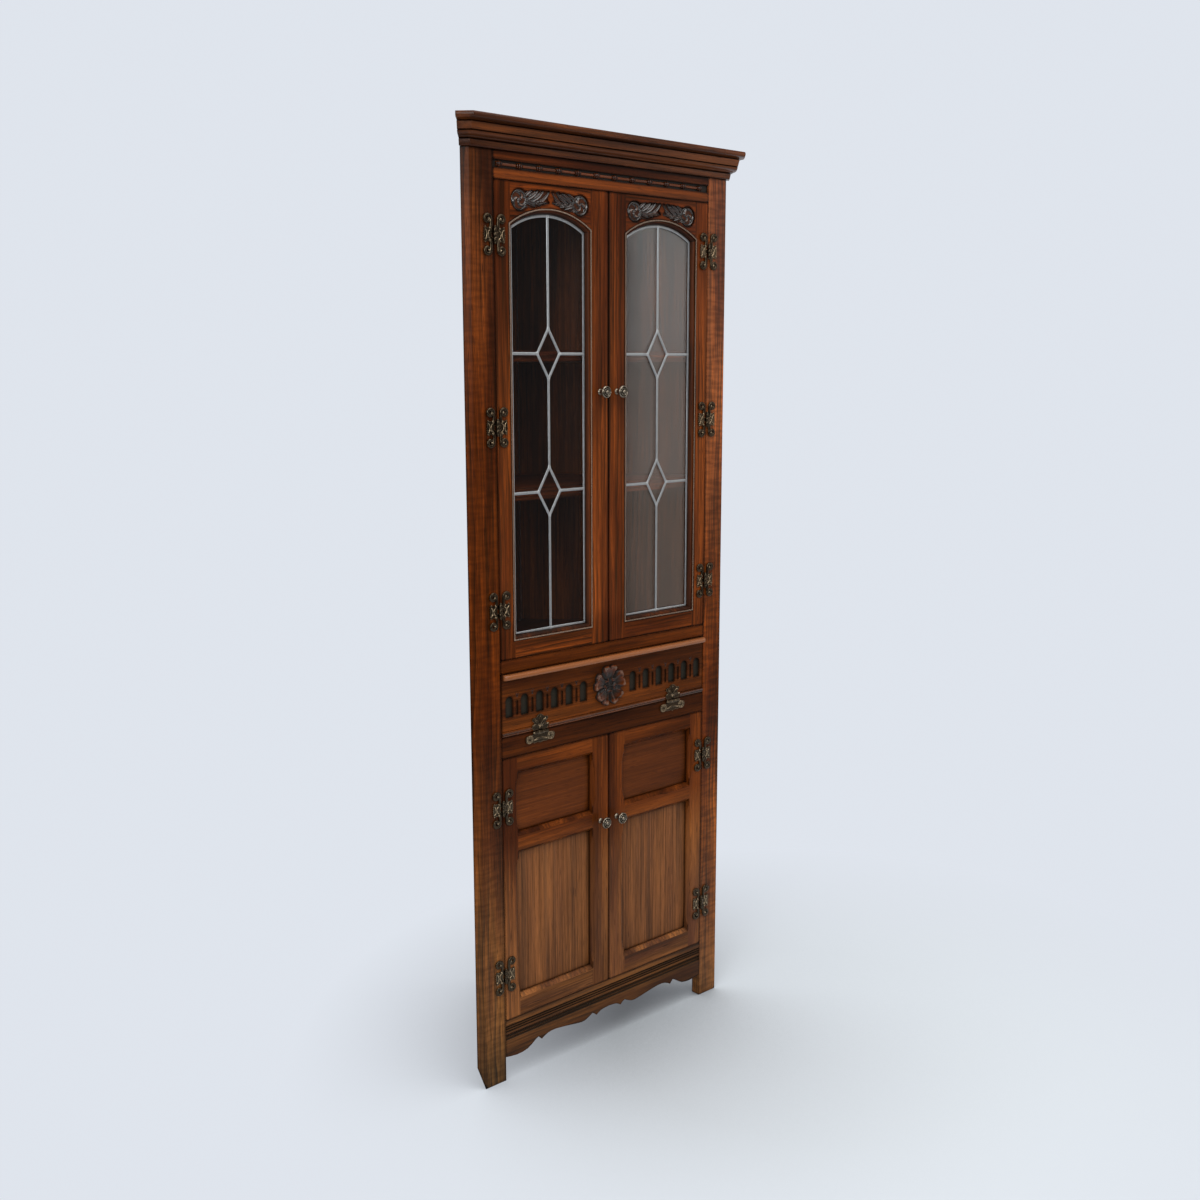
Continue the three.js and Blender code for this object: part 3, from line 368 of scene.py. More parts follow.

# %% [markdown]
# Every kind of board has its own settings. The panels are the palest wood, and the hollows of the carving, the reeds
# and the niches hold old wax. The posts and the cupboard doors turn paler and greyer near the floor. The right post is
# painted lighter than the left, as if lit from the right, and greyer up high, a painted sheen. The top of the frieze,
# the top of the glass doors and the boards under the flap are painted darker, painted shade. What stands proud on the
# carving, the rose, the door bead and the nosing gets a paler colour, a painted highlight.

# %% Oak of each kind of board
OAK_KINDS = {
    # Both posts turn paler and greyer near the floor. The right post is painted lighter than the left and greyer high
    # up, a painted sheen as if lit from the right.
    "left_post": dict(grain="upright", shine=0.06, ripple=0.2, tints_and_painted_light=[
        (0.03, (0.72, 1.3, 2.2)), (0.12, (1.35, 2.1, 3.1)), (0.3, (1.85, 2.65, 3.2)), (0.5, (1.05, 1.15, 1.2)),
        (0.75, (0.85, 0.66, 0.3)), (1.3, (0.88, 0.68, 0.3)), (1.75, (0.8, 0.82, 0.95))]),
    "right_post": dict(grain="upright", shine=0.1, ripple=0.3, tints_and_painted_light=[
        (0.03, (1.5, 2.3, 3.3)), (0.12, (1.65, 2.25, 3.0)), (0.4, (2.7, 2.8, 2.2)), (0.6, (1.65, 1.25, 0.4)),
        (0.9, (1.55, 1.2, 0.4)), (1.15, (2.0, 2.0, 1.9)), (1.5, (2.9, 3.0, 3.8))]),
    # The level boards are painted darker below the flap, painted shade.
    "level": dict(tone=(1.0, 0.95, 0.75), shine=0.05, lines=0.12, ring_dark=0.5, tints_and_painted_light=[
        (0.705, (0.5, 0.48, 0.45)), (0.72, (1.2, 1.1, 0.75))]),
    # The cupboard doors turn paler and greyer towards the floor.
    "framed": dict(grain="framed", shine=0.05, lines=0.16, ring_dark=0.4, tints_and_painted_light=[
        (0.25, (1.6, 2.3, 3.7)), (0.4, (1.42, 1.82, 2.4)), (0.5, (0.88, 0.78, 0.55))]),
    # The glass doors are painted darker at the top, painted shade, and are darker at the foot rail. Their proud bead
    # gets a painted highlight.
    "display": dict(grain="framed", tone=(1.45, 1.27, 1.0), ring_dark=0.0, shine=0.05, until=13, tints_and_painted_light=[
        (0.9, (0.78, 0.75, 0.7)), (0.93, (1.2, 1.2, 1.2)), (1.5, (1.2, 1.2, 1.2)), (1.68, (0.72, 0.64, 0.58))],
        layers=[(OLD_WAX, 0.6, 0.3, 2.5), (PAINTED_HIGHLIGHT_OAK, 0.85, -0.4, -1.1)]),
    "cornice": dict(tone=(0.85, 0.88, 0.85), crevice_dirt_and_shade=0.04, reach=14, joint=0.7, shine=0.2, ring_dark=0.5),
    "reeded": dict(tone=(1.2, 1.8, 2.6), layers=[(RAIL_WAX, 0.92, 0.3, 1.3)], crevice_dirt_and_shade=0.35, joint=0.5, until=5),
    # The frieze is painted darker at its top, painted shade under the cornice. Its band groove holds old wax.
    "frieze": dict(painted_overhang_shade=True, layers=[(OLD_WAX, 0.95, 0.5, 2.0)], lines=0.15, ring_dark=0.4, until=5,
        tints_and_painted_light=[(1.755, (1.2, 1.05, 0.85)), (1.762, (0.62, 0.5, 0.42)), (1.778, (0.42, 0.34, 0.3))]),
    "flap": dict(tone=(1.12, 1.06, 0.8), layers=[(NICHE_WAX, 0.92, 0.6, 4.5)], lines=0.12, ring_dark=0.4,
        joint=0.4, crevice_dirt_and_shade=0.5, shine=0.05, until=6),
    # The front of the nosing gets a paler orange, a painted highlight.
    "nosing": dict(joint=1.0, shine=0.35, gloss=0.25, tone=(0.9, 0.9, 0.9), layers=[(PAINTED_NOSING_HIGHLIGHT, 0.5, -4.0, -9.0)]),
    # The lower and upper panels are painted darker near their frames, painted shade.
    "panel": dict(grain="upright", tone=(1.95, 2.8, 4.3), painted_overhang_shade=True, ring_scale=62, ring_dark=0.5, lines=0.45,
        even=0.4),
    "field": dict(tone=(1.0, 0.97, 0.78), painted_overhang_shade=True, lines=0.12, ring_dark=0.7, even=0.35),
    # The proud parts of the carving and the rose get a paler colour, a painted highlight.
    "carved": dict(tone=(0.8, 0.7, 0.55), crevice_dirt_and_shade=0.02, reach=4, gloss=0.2, shine=0.7, joint=0.9,
        layers=[(OLD_WAX, 0.94, 0.5, 1.3), (PAINTED_HIGHLIGHT_OAK, 0.4, 0.6, 0.2)]),
    "rose": dict(tone=(0.75, 0.62, 0.42), crevice_dirt_and_shade=0.01, reach=6, gloss=0.2, shine=0.2, joint=1.0,
        layers=[(OLD_WAX, 0.95, -6.6, -3.8), (PAINTED_HIGHLIGHT_OAK, 0.2, -7.2, -8.6)]),
    "bead": dict(tone=(1.15, 1.0, 0.9), shine=0.4, joint=1.0),
    "rubbed": dict(tone=(0.8, 0.85, 0.95), shine=0.5, gloss=0.22, joint=1.0),
    "waxed": dict(tone=(0.45, 0.4, 0.36), gloss=0.24, shine=0.35, joint=1.0),
    # The shelves and the boards inside get a much paler tone, painted light for the dim inside.
    "shelf": dict(tone=(2.4, 2.2, 2.2), joint=0.5),
    "hidden": dict(grain="upright", tone=(2.5, 2.8, 3.0), joint=0.8, ring_dark=0.4),
}
oak = {name: oak_finish(name + "_oak", **settings) for name, settings in OAK_KINDS.items()}
print("oak finishes", len(oak))

# %% [markdown]
# ## Metals, lead and glass
# The hinges are dark bronze, rubbed bright where hands and cloths reach. The knobs are a greyer pewter bronze, and the
# lead cames a dull silver. A shade node that looks inside finds the raised edges, and noise breaks them up. The glass
# is a thin dark film with a slight ripple, so that it shows both the shelves and the studio.

# %% Metal, lead and glass finishes
def metal_finish(name, dark, bright, roughness, worn, crevice, metallic=1.0):
    finish, tree, shader = new_finish(name)
    patches, grains = (tree.noise(tree.place(), scale, detail) for scale, detail in ((260, 4), (1500, 2)))
    edge = tree.hollows(1.1, [(0.35, 1), (0.9, worn)], inside=True)
    rubbed = tree.product(edge, tree.ramp(patches, [(0.3, 0.35), (0.65, 1)]))
    colour = tree.times(tree.mix(rubbed, dark, bright), tree.hollows(3, [(0.4, crevice), (0.95, 1)]))
    tree.set(shader, {"Base Color": colour, "Metallic": metallic, "Normal": tree.bump(grains, 0.2, 0.1),
                      "Roughness": tree.maths("MULTIPLY_ADD", patches, 0.25, roughness - 0.12)})
    return finish


bronze = metal_finish("antique_bronze", (0.038, 0.027, 0.017, 1), (0.60, 0.44, 0.27, 1), 0.32, 0.06, 0.04)
pewter = metal_finish("pewter_bronze", (0.15, 0.122, 0.09, 1), (0.66, 0.57, 0.45, 1), 0.34, 0.2, 0.05)
lead = metal_finish("dull_lead", (0.24, 0.25, 0.255, 1), (0.52, 0.54, 0.55, 1), 0.4, 0.5, 0.4, metallic=0.7)

clear_glass, tree, shader = new_finish("clear_glass")
ripple = tree.vector("SUBTRACT", tree.noise(tree.place(), 7, 1).outputs["Color"], (0.5, 0.5, 0.5))
bent = tree.vector("ADD", tree.scaled(ripple, (0.012, 0.0, 0.012)),
                   tree.add("ShaderNodeNewGeometry").outputs["Normal"])
tree.set(shader, {"Base Color": (0.004, 0.004, 0.004, 1), "Alpha": 0.34, "Roughness": 0.1, "IOR": 2.5,
                  "Normal": tree.vector("NORMALIZE", bent)})
print("metals, lead and glass ready")

# %% [markdown]
# ## Pieces
# Every finished piece is a mesh whose object stays at the origin. One function hangs it on the body of the node it
# stands for, hides that node, puts its finish in the mesh's slot and writes its own board number into the mesh. It
# takes a mesh, or
# the vertices and faces of one. Modifiers only work on a passing object, and the mesh that they leave is plain.

# %% A finished piece
def finished(name, mesh, node, finish=None, replaced=True, smooth=None):
    if isinstance(mesh, tuple):
        mesh = mesh_from(*mesh)
    if finish:
        mesh.materials.clear()
        mesh.materials.append(finish)
    if smooth:
        mesh.shade_smooth()
        mesh.set_sharp_from_angle(angle=radians(smooth))
    seed = zlib.crc32(node.encode())
    board = mesh.attributes.new("board", "FLOAT", "POINT")
    board.data.foreach_set("value", [(seed % 997) / 997] * len(mesh.vertices))
    piece = placed(name, mesh)
    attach(piece, frame["nodes"][node]["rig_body"])
    if replaced:
        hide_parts(node)


def applied(mesh, *modifiers, inputs=None):
    """The plain mesh that modifiers make. The inputs of a Geometry Nodes tree are given by their labels."""
    holder = placed("work", mesh)
    for kind, settings in modifiers:
        modifier = holder.modifiers.new(kind, kind)
        for name, value in settings.items():
            setattr(modifier, name, value)
        if inputs:
            for item in modifier.node_group.interface.items_tree:
                if item.in_out == "INPUT" and item.name in inputs:
                    modifier[item.identifier] = inputs[item.name]
    graph = bpy.context.evaluated_depsgraph_get()
    result = bpy.data.meshes.new_from_object(holder.evaluated_get(graph))
    holder.modifiers.clear()
    bpy.data.objects.remove(holder)
    return result


def kept(shape, mesh=None):
    """Writes a working shape into a mesh, a new one when none is given, and frees the shape."""
    mesh = mesh or bpy.data.meshes.new("built")
    shape.to_mesh(mesh)
    shape.free()
    return mesh


print("piece helpers ready")

# %% [markdown]
# ## Boards with eased edges
# A hand planed edge is never sharp, and its small round is what catches the light. Each board is a copy of its node:
# the copy's loose triangles are merged and flattened into whole faces, and a bevel rounds every real edge by less
# than a millimetre. A door frame is first cut by planes through its openings, marked as seams, because a flat face
# with a hole in it can't be one clean face.

# %% Eased copies of the nodes
def merged_copy(node, cuts=()):
    mesh = frame["nodes"][node].data.copy()
    shape = bmesh.new()
    shape.from_mesh(mesh)
    bmesh.ops.remove_doubles(shape, verts=shape.verts, dist=0.01 * MM)
    for place, direction in cuts:
        everything = shape.verts[:] + shape.edges[:] + shape.faces[:]
        line = bmesh.ops.bisect_plane(shape, geom=everything, dist=0.001 * MM, plane_co=place, plane_no=direction)
        for item in line["geom_cut"]:
            if isinstance(item, bmesh.types.BMEdge):
                item.seam = True
    bmesh.ops.dissolve_limit(shape, angle_limit=radians(0.4), verts=shape.verts, edges=shape.edges, delimit={"SEAM"})
    kept(shape, mesh)
    for name in [item.name for item in mesh.attributes if item.name.startswith(("custom", "sharp"))]:
        mesh.attributes.remove(mesh.attributes[name])
    return mesh


def ease(mesh, width, segments=2, angle=28):
    mesh.shade_smooth()
    rounding = {"width": width * MM, "segments": segments, "limit_method": "ANGLE", "angle_limit": radians(angle),
                "use_clamp_overlap": True, "miter_outer": "MITER_ARC"}
    return applied(mesh, ("BEVEL", rounding), ("WEIGHTED_NORMAL", {"weight": 50, "keep_sharp": False}))


def eased(node, kind, width=0.9, cuts=()):
    finished(node + "_wood", ease(merged_copy(node, cuts), width), node, oak[kind])


board_kinds = {
    "left_post": ["left_front_post"], "right_post": ["right_front_post"],
    "hidden": ["left_wall_panel", "right_wall_panel", "corner_post"],
    "level": ["top_board", "display_floor", "cupboard_rail", "compartment_floor", "cupboard_shelf", "cupboard_floor"],
    "shelf": ["upper_shelf", "lower_shelf"]}
for kind, nodes in board_kinds.items():
    for node in nodes:
        eased(node, kind)
eased("frieze_rail", "frieze", 0.5)
(upper_low, upper_high), (lower_low, lower_high) = door_openings[1:]
cut_heights = [(lower_low + lower_high) / 2, (lower_high + upper_low) / 2, (upper_low + upper_high) / 2]
for side, sign in SIDES:
    cuts = [(at(0, 0, height), (0, 0, 1)) for height in cut_heights]
    cuts += [(at(sign * sum(door_rail_span) / 2, 0, 0), (1, 0, 0))]
    eased(f"{side}_cupboard_door_frame", "framed", 0.7, cuts)
    eased(f"{side}_cupboard_door_upper_panel", "field")
    eased(f"{side}_cupboard_door_lower_panel", "panel")

# %% [markdown]
# ## Ring and curve helpers
# Mouldings, knobs, hinges and strips are all rows of points joined by faces. One builder joins closed rings and caps
# the ends. Round forms take their cosines and sines from one list, and bent lines are all the same simple curve.

# %% Ring and curve helpers
def mesh_from(vertices, faces):
    shape = bmesh.new()
    corners = [shape.verts.new(place) for place in vertices]
    for face in faces:
        shape.faces.new([corners[index] for index in face])
    bmesh.ops.recalc_face_normals(shape, faces=shape.faces)
    return kept(shape)


def ring_faces(ring_count, size, start=0):
    return [(low + step, low + (step + 1) % size, low + size + (step + 1) % size, low + size + step)
            for low in range(start, start + (ring_count - 1) * size, size) for step in range(size)]


def loft(rings):
    """Vertices and faces of closed rings, each joined to the next, with a cap at each end."""
    size, last = len(rings[0]), (len(rings) - 1) * len(rings[0])
    caps = [tuple(range(size)), tuple(range(last, last + size))]
    return [place for ring in rings for place in ring], ring_faces(len(rings), size) + caps


def prism(points, front, back):
    return loft([[at(x, depth, z) for x, z in points] for depth in (front, back)])


def joined(parts):
    vertices, faces = [], []
    for part_vertices, part_faces in parts:
        start = len(vertices)
        vertices += part_vertices
        faces += [tuple(start + index for index in face) for face in part_faces]
    return vertices, faces


def arc(start, end, steps):
    """Cosine and sine at even steps from one angle to another."""
    angles = [start + (end - start) * step / steps for step in range(steps + 1)]
    return [(cos(angle), sin(angle)) for angle in angles]


def circle(sides):
    return arc(0, 2 * pi, sides)[:-1]


def bend(start, control, end, t):
    """The place at share t of a curve that leaves start towards control and arrives at end."""
    return tuple((1 - t) ** 2 * a + 2 * t * (1 - t) * b + t * t * c for a, b, c in zip(start, control, end))


print("builders ready")

# %% [markdown]
# ## Cornice
# The cornice is a run of mouldings planed as one length and mitred at the corners. Its section is drawn once as curves
# from the bottom edge to the top edge, and is carried round the front and the two short returns.

# %% Cornice
cornice_low, cornice_height, cornice_projection, cornice_back = 1778.3, 1830.0 - 1778.3, 38.3, 12.0
face_half, return_width, curve_steps = 324.0, 16.3, 7
section_start = (0.16, 0)
section_curves = [((0.2, 0.02), (0.235, 0.20)), ((0.2, 0.205), (0.175, 0.225)), ((0.22, 0.24), (0.27, 0.25)),
                  ((0.33, 0.25), (0.357, 0.29)), ((0.56, 0.31), (0.6, 0.43)), ((0.57, 0.435), (0.54, 0.455)),
                  ((0.57, 0.47), (0.61, 0.48)), ((0.64, 0.55), (0.69, 0.71)), ((0.66, 0.72), (0.635, 0.74)),
                  ((0.7, 0.77), (0.83, 0.79)), ((0.98, 0.79), (1, 0.9)), ((1, 0.98), (0.96, 1))]


def cornice_section():
    points, start = [section_start], section_start
    for control, end in section_curves:
        points += [bend(start, control, end, step / curve_steps) for step in range(1, curve_steps + 1)]
        start = end
    run = [(out * cornice_projection, rise * cornice_height) for out, rise in points]
    return [(-cornice_back, 0), (0, 0)] + run + [(-cornice_back, cornice_height)]


def cornice_station(side, end, out):
    if end:
        return side * (face_half + (out + return_width) * sqrt(0.5)), (return_width - out) * sqrt(0.5)
    return side * (face_half + out * tan(radians(22.5))), -out


section = cornice_section()
rings = [[at(*cornice_station(side, end, out), cornice_low + rise) for out, rise in section]
         for side, end in ((-1, True), (-1, False), (1, False), (1, True))]
finished("cornice_moulding", loft(rings), "cornice", oak["cornice"], smooth=35)
print("cornice section points", len(section))

# %% [markdown]
# ## Bead and reel band
# A carved band runs along the frieze: long beads with a cluster of small reels between them. It is one pattern
# repeated along a line, so a Geometry Nodes tree sets instances of a bead, a boss and a reel on points.

# %% Bead and reel band
def geometry_tree(name, **labels):
    """A Geometry Nodes tree whose inputs are labelled by kind, with what it is given and its end node."""
    group = bpy.data.node_groups.new(name, "GeometryNodeTree")
    for way in ("INPUT", "OUTPUT"):
        group.interface.new_socket("Geometry", in_out=way, socket_type="NodeSocketGeometry")
    for kind, names in labels.items():
        for label in names:
            group.interface.new_socket(label, in_out="INPUT", socket_type="NodeSocket" + kind)
    tree = Tree(group)
    return tree, tree.add("NodeGroupInput").outputs, tree.add("NodeGroupOutput")


def row_of(tree, count, start, step):
    return tree.add("GeometryNodeMeshLine", {"Count": count, "Start Location": start, "Offset": step}, mode="OFFSET")


def copies(tree, points, instance, scale, offset=None):
    if offset:
        points = tree.add("GeometryNodeSetPosition", {"Geometry": points, "Offset": offset})
    return tree.add("GeometryNodeInstanceOnPoints", {"Points": points, "Instance": instance, "Scale": scale})


def sphere(tree, segments, rings, radius):
    return tree.add("GeometryNodeMeshUVSphere", {"Segments": segments, "Rings": rings, "Radius": radius})


def together(tree, *parts):
    node = tree.add("GeometryNodeJoinGeometry")
    for part in parts:
        tree.set(node, {0: part})
    return node


def painted(tree, geometry, material):
    real = tree.add("GeometryNodeRealizeInstances", {"Geometry": geometry})
    return tree.add("GeometryNodeSetMaterial", {"Geometry": real, "Material": material})


def built(tree, inputs, mesh=None):
    return applied(mesh or bpy.data.meshes.new("empty"), ("NODES", {"node_group": tree.tree}), inputs=inputs)


tree, given, result = geometry_tree("bead_and_reel", Vector=("Start", "Step"), Int=("Copies",),
                                    Float=("Bead Length", "Bead Radius", "Boss Radius"),
                                    Material=("Bead Material", "Reel Material"))
clusters = row_of(tree, given["Copies"], given["Start"], given["Step"])
half_step = tree.scaled(given["Step"], (0.5, 0.5, 0.5))
gaps = row_of(tree, tree.maths("SUBTRACT", given["Copies"], 1), tree.vector("ADD", given["Start"], half_step),
              given["Step"])
log = tree.add("GeometryNodeMeshCylinder", {"Vertices": 20, "Radius": 1.0, "Depth": 1.0})
lying = tree.add("GeometryNodeTransform", {"Geometry": log, "Rotation": (0, pi / 2, 0)})
beads = copies(tree, gaps, lying, tree.combine(given["Bead Length"], given["Bead Radius"], given["Bead Radius"]))
ball, boss = sphere(tree, 20, 12, 1.0), given["Boss Radius"]
boss_size = tree.combine(tree.product(boss, 0.5), boss, boss)
reels = [copies(tree, clusters, ball, tree.scaled(boss_size, (0.7, 0.84, 0.84)),
                tree.scaled(boss_size, (side * 1.7, 0, 0))) for side in (-1, 1)]
dark = together(tree, *reels, copies(tree, clusters, ball, boss_size))
tree.set(result, {0: together(tree, painted(tree, beads, given["Bead Material"]),
                              painted(tree, dark, given["Reel Material"]))})

band_height, cluster_count, cluster_pitch, band_depth, first_cluster = 1755.0, 12, 46.0, 3.2, -259.0
band = built(tree, {
    "Start": at(first_cluster, band_depth, band_height), "Step": (cluster_pitch * MM, 0, 0),
    "Copies": cluster_count, "Bead Length": 30.5 * MM, "Bead Radius": 2.5 * MM, "Boss Radius": 5.4 * MM,
    "Bead Material": oak["bead"], "Reel Material": oak["waxed"]})
finished("frieze_bead_and_reel", band, "frieze_rail", replaced=False, smooth=40)
print("band triangles", sum(len(face.vertices) - 2 for face in band.polygons))

# %% [markdown]
# ## Display door frames
# Each glass door has an arched opening with a moulded edge. The opening is one closed line, and every step of the
# moulding is the same line drawn in or out by a few millimetres. Joining those lines ring by ring gives the whole
# frame, with its fine bead line, its moulding and the rebate that the glass lies in.

# %% Display door frames
door_left, door_right, door_low, door_high, door_back = 1.0, 272.0, 856.0, 1728.0, 21.0
light_left, light_right, light_low, light_crown, arch_rise = 46.0, 237.0, 893.0, 1683.0, 30.0
light_middle, light_half = (light_left + light_right) / 2, (light_right - light_left) / 2
arch_radius = (light_half ** 2 + arch_rise ** 2) / (2 * arch_rise)
arch_centre = light_crown - arch_radius
mould_width, mould_depth, lip_depth, fillet = 6.0, 9.0, 11.7, 1.5
bead_middle, bead_radius, bead_sink = -1.4, 1.9, 0.5


def arched_line(inset, arch_steps=44, side_steps=6):
    half, radius = light_half - inset, arch_radius - inset
    start = acos(half / radius)
    low, spring = light_low + inset, arch_centre + radius * sin(start)
    shares = [step / side_steps for step in range(side_steps)]
    points = [(light_middle - half + 2 * half * share, low) for share in shares]
    points += [(light_middle + half, low + (spring - low) * share) for share in shares]
    points += [(light_middle + radius * c, arch_centre + radius * s) for c, s in arc(start, pi - start, arch_steps)]
    return points + [(light_middle - half, spring + (low - spring) * share) for share in shares[1:]]


def moulding_steps():
    """How far each line of the moulding lies inside the opening's edge, and how deep."""
    bead = [(bead_middle - bead_radius * c, bead_sink - bead_radius * s) for c, s in arc(0, pi, 6)]
    cove = [(fillet + (mould_width - fillet) * s, mould_depth - (mould_depth - fillet) * c)
            for c, s in arc(0, pi / 2, 7)[1:]]
    return ([(bead_middle - bead_radius - 0.9, 0), (bead_middle - bead_radius - 0.2, 0.9)] + bead
            + [(bead_middle + bead_radius + 0.1, fillet), (fillet, fillet)] + cove
            + [(mould_width, lip_depth), (0, lip_depth), (0, door_back)])


def display_frame(sign):
    shape = bmesh.new()

    def loop_of(points, depth):
        return [shape.verts.new(at(sign * x, depth, z)) for x, z in points]

    def pairs(loop):
        return list(zip(loop, loop[1:] + loop[:1]))

    def band_of(outer, inner):
        for (first, second), (third, fourth) in zip(pairs(outer), pairs(inner)):
            shape.faces.new((first, second, fourth, third))

    corners = [(door_left, door_low), (door_right, door_low), (door_right, door_high), (door_left, door_high)]
    loops = [loop_of(arched_line(inset), depth) for inset, depth in moulding_steps()]
    for outer, inner in zip(loops, loops[1:]):
        band_of(outer, inner)
    front, back = (loop_of(corners, depth) for depth in (0, door_back))
    band_of(front, back)
    for rectangle, hole in ((front, loops[0]), (back, loops[-1])):
        edges = [shape.edges.get(pair) or shape.edges.new(pair) for pair in pairs(rectangle) + pairs(hole)]
        bmesh.ops.triangle_fill(shape, use_beauty=True, edges=edges)
    bmesh.ops.recalc_face_normals(shape, faces=shape.faces)
    bmesh.ops.dissolve_limit(shape, angle_limit=radians(0.3), verts=[], edges=shape.edges)
    return kept(shape)


print("moulding steps", len(moulding_steps()))

# %% [markdown]
# ## Carved spandrels
# Over each arch the carver sank the ground by three millimetres and left a whirling roundel at each end, with flame
# shaped leaves that sweep from it to a small plain diamond in the middle. The sunk field is cut from the frame with a
# Boolean modifier. Its outline is drawn in millimetres from the roundel's middle, towards the diamond and upwards.

# %% Spandrel field
roundel_centre, roundel_radius, field_radius, ground_depth = (69.5, 1697.0), 19.0, 20.2, 3.2
cutter_front = -1.0
roundel_field = [(field_radius * cos(radians(turn)), field_radius * sin(radians(turn))) for turn in range(54, 312, 8)]
field_low_edge = [(17, -12.5), (20.5, -11.4), (25, -12.8), (30, -13.2), (34.7, -12.2), (38.5, -9.8), (43, -10.2),
                  (48, -8.2), (51, -5.8), (55, -5.8), (60, -4.2), (65, -3.0), (70, -1.4)]
field_diamond = [(62.6, 6.8), (70.2, 17.6)]
field_top_edge = [(70.4, 20.2), (64, 20.0), (60, 18.4), (56, 20.3), (50, 20.1), (46, 18.3), (43, 20.2), (38, 19.6),
                  (34, 17.4), (31, 18.8), (26, 18.4), (21, 16.2), (16.5, 16.8), (13.6, 15.6)]
field = [(roundel_centre[0] + x, roundel_centre[1] + z)
         for x, z in roundel_field + field_low_edge + field_diamond + field_top_edge]


def cut_away(mesh, parts):
    cutter = placed("cutter", mesh_from(*joined(parts)))
    result = applied(mesh, ("BOOLEAN", {"operation": "DIFFERENCE", "object": cutter, "solver": "EXACT"}))
    bpy.data.objects.remove(cutter)
    return result


def across_groove(height, half, mouth, depth):
    """A V groove that runs level across a board, as a cutter."""
    wide = mouth / 2 * (1 + 1 / depth)
    section = ((cutter_front, wide), (depth, 0.0), (cutter_front, -wide))
    return loft([[at(x, y, height + z) for y, z in section] for x in (-half, half)])


for side, sign in SIDES:
    fields = [[(sign * x, z) for x, z in field], [(sign * (2 * light_middle - x), z) for x, z in field]]
    sunk = cut_away(display_frame(sign), [prism(points, cutter_front, ground_depth) for points in fields])
    finished(f"{side}_display_door_frame_wood", ease(sunk, 0.45, angle=40), f"{side}_display_door_frame",
             oak["display"])
print("spandrel field points", len(field))

# %% [markdown]
# The rail at the foot is reeded. Two wide and three narrow V grooves are cut across it, with a plain fillet between
# the two sets, and easing their edges rounds the wood between them into reeds.

# %% Reeded bottom rail
groove_depth, rail_half = 3.5, 272.5
groove_places = [(87.0, 4.6), (93.0, 4.6), (103.0, 3.6), (108.2, 3.6), (113.4, 3.6)]
grooves = [across_groove(height, rail_half, mouth, groove_depth) for height, mouth in groove_places]
rail = ease(cut_away(merged_copy("bottom_rail"), grooves), 0.9, segments=3, angle=35)
finished("bottom_rail_wood", rail, "bottom_rail", oak["reeded"])
print("reed grooves", len(grooves))

# %% [markdown]
# The relief is one sheet of points laid over the field, and each point takes the height of the tallest thing above it.
# A leaf is a bent spine with a width at each station: its height is greatest near its two edges and falls to a fold
# along the spine. The roundel has a raised rim, three commas that turn as they go out, and an eye. Where nothing
# stands the sheet lies under the sunk ground, inside the wood.

# %% Spandrel foliage
# Each leaf is its root, a bend point and its tip, then its width, all from the roundel's middle.
LEAVES = [((13, 6), (19, 15), (31, 18.3), 7.4), ((20, 3), (32, 8), (43.5, 19.2), 7.6),
          ((31, 1), (44, 5), (56.5, 19.4), 7.8), ((43, -1), (59, 3), (70.2, 19.8), 7.2),
          ((12, -8), (18, -15), (26.5, -11.6), 6.0), ((16, -3), (26, -4), (38.5, -10.4), 7.4),
          ((27, -3), (39, -2), (50.5, -7.0), 7.0), ((39, -3), (53, -1), (69, -2.2), 6.4),
          ((17, 1), (24, 0), (33, -4.5), 5.0), ((24, 10), (31, 12), (37, 18), 4.6),
          ((48, -1), (55, 2), (61.5, 6.4), 5.2), ((36, 8), (44, 11), (49, 18.6), 4.6)]
leaf_stations, under_ground, leaf_margin, arch_margin = 16, -0.8, 4, 4.5
sheet_left, sheet_right, sheet_top, sheet_columns, sheet_rows, sheet_back = -20.4, 71.8, 20.4, 153, 68, 2.2
least_depth = 0.15


def leaf_spine(root, control, tip, width):
    spine = []
    for station in range(leaf_stations + 1):
        t = station / leaf_stations
        slope = [2 * (1 - t) * (b - a) + 2 * t * (c - b) for a, b, c in zip(root, control, tip)]
        half = width / 2 * sin(pi * (0.2 + 0.77 * t)) ** 0.75
        spine.append((*bend(root, control, tip, t), slope[0] / hypot(*slope), slope[1] / hypot(*slope), half))
    return spine


def leaf_height(spine, x, z):
    near = min(range(len(spine)), key=lambda place: (x - spine[place][0]) ** 2 + (z - spine[place][1]) ** 2)
    spine_x, spine_z, along_x, along_z, half = spine[near]
    aside = (x - spine_x) * along_z - (z - spine_z) * along_x
    ahead = (x - spine_x) * along_x + (z - spine_z) * along_z
    share = hypot(aside, max(0, abs(ahead) - 1.2)) / half
    if share >= 1:
        return under_ground
    rise = 0.72 + 0.28 * sin(pi * near / leaf_stations)
    fold = 0.42 + 0.9 * abs(aside / half) ** 1.2
    return 3.9 * rise * fold * (1 - share ** 4) - 0.4


def roundel_height(x, z):
    share, angle = hypot(x, z) / roundel_radius, atan2(z, x)
    if share >= 1:
        return under_ground
    rim = 3.2 * exp(-(((share - 0.9) / 0.075) ** 2))
    comma = max(0, cos(3 * (angle - 2.3 * share) + 0.6)) ** 0.7
    whirl = 3.3 * comma * sin(pi * min(1, share / 0.86)) ** 0.5
    eye = 3.0 * max(0, 1 - (share / 0.17) ** 2) ** 0.5
    return max(rim, whirl, eye) * (1 - share ** 14) - 0.3


